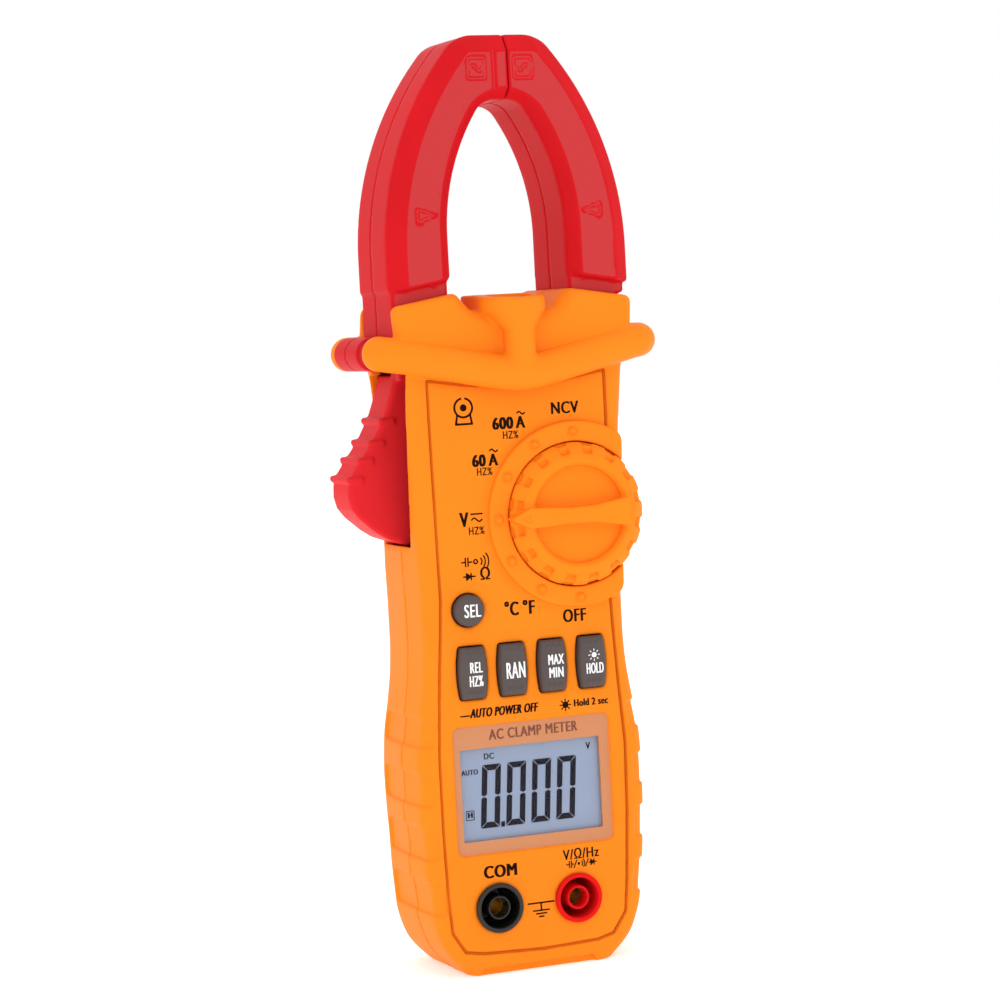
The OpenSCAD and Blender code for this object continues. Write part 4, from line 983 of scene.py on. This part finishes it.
# the small signs over the right jack, with strokes between them
strokes("marks_jacks", [
    [(6.3, 22.6), (7, 22.6)], [(7, 23.3), (7, 21.9)], [(7.5, 23.3), (7.5, 21.9)],
    [(7.5, 22.6), (8, 22.6)], [(8.1, 21.8), (8.8, 23.4)], ring(9.4, 22.6, 0.8, -38, 38, 6),
    ring(9.4, 22.6, 1.3, -38, 38, 6), [(10.9, 21.8), (11.6, 23.4)], [(11.7, 22.6), (13.5, 22.6)],
    [(12.2, 23.2), (12.2, 22), (12.9, 22.6), (12.2, 23.2)], [(13, 23.2), (13, 22)],
], 0.3, [(9.3, 22.6, 0.35), (12.4, 22.6, 0.25)])
strokes("marks_earth", [
    [(-3.4, 14.9), (2.8, 14.9)], [(-0.3, 14.9), (-0.3, 13.2)], [(-2.2, 13.2), (1.6, 13.2)],
    [(-1.5, 12.5), (0.9, 12.5)], [(-0.8, 11.8), (0.2, 11.8)],
], 0.38)
strokes("marks_clamp", [
    ring(-12.6, 126.2, 2.1, 105, 435, 20), [(-14.1, 124.7), (-14.5, 122.6), (-10.7, 122.6), (-11.1, 124.7)],
], 0.5, [(-12.6, 126.2, 0.8)])
hold_sun_x = KEY_XS[3] + 0.15
strokes("marks_hold_sun", sun(hold_sun_x, 69.3, 1, 1.3), 0.24, [(hold_sun_x, 69.3, 0.6)], KEY_TEXT_Y,
        "hold_key", "key_grey", ink_white)
strokes("lcd_hold_box", [[(-16.3, 34.9), (-14.5, 34.9), (-14.5, 36.9), (-16.3, 36.9), (-16.3, 34.9)]],
        0.22, y=LCD_Y, slot="lcd_glass", material=lcd_ink)

# ---------------------------------------------------------------- floor, light and camera

bpy.ops.mesh.primitive_plane_add(size=6, location=(0, 0, 0))
floor = bpy.context.object
floor.name = "studio_floor"
white = moulded("floor_white", (0.93, 0.93, 0.93, 1), 0.8, 50, 0.0, 0.005)
glow = white.node_tree.nodes["Principled BSDF"]
glow.inputs["Emission Color"].default_value = (1, 1, 1, 1)
glow.inputs["Emission Strength"].default_value = 0.4
floor.data.materials.append(white)

world = bpy.data.worlds.new("studio")
world.use_nodes = True
world.node_tree.nodes["Background"].inputs["Color"].default_value = (1, 1, 1, 1)
world.node_tree.nodes["Background"].inputs["Strength"].default_value = 1.0
bpy.context.scene.world = world


def area_light(name, place, target, size, power):
    """Rectangular light at place, turned towards target."""
    light = bpy.data.lights.new(name, "AREA")
    light.shape = "RECTANGLE"
    light.size, light.size_y = size
    light.energy = power
    obj = bpy.data.objects.new(name, light)
    bpy.context.scene.collection.objects.link(obj)
    obj.location = place
    obj.rotation_euler = (Vector(target) - Vector(place)).to_track_quat("-Z", "Y").to_euler()


CENTRE = (0, 0, 0.11)
area_light("key_left", (-0.75, -0.55, 0.45), CENTRE, (0.4, 0.6), 0.4)
area_light("fill_right", (0.6, -0.6, 0.25), CENTRE, (0.4, 0.6), 0.2)
area_light("top", (0, -0.1, 0.8), CENTRE, (0.5, 0.4), 0.6)

CAMERA_PLACE = (-0.23677, -0.60851, 0.14636)
CAMERA_TURN = (21.31, 2.84, -3.0)  # yaw, pitch and roll, in degrees
yaw, pitch, roll = (math.radians(v) for v in CAMERA_TURN)
forward = Vector((math.sin(yaw) * math.cos(pitch), math.cos(yaw) * math.cos(pitch), -math.sin(pitch)))
right = forward.cross(Vector((0, 0, 1))).normalized()
up = right.cross(forward)
right, up = (math.cos(roll) * right + math.sin(roll) * up, -math.sin(roll) * right + math.cos(roll) * up)
camera_data = bpy.data.cameras.new("camera")
camera_data.sensor_width = 36
camera_data.lens = 104.5
camera_data.shift_x = -0.00242
camera_data.shift_y = -0.042
camera_data.clip_start = 0.01
camera = bpy.data.objects.new("camera", camera_data)
bpy.context.scene.collection.objects.link(camera)
axes = Matrix((right, up, -forward)).transposed().to_4x4()
camera.matrix_world = Matrix.Translation(CAMERA_PLACE) @ axes
bpy.context.scene.camera = camera
bpy.context.scene.view_settings.view_transform = "Standard"
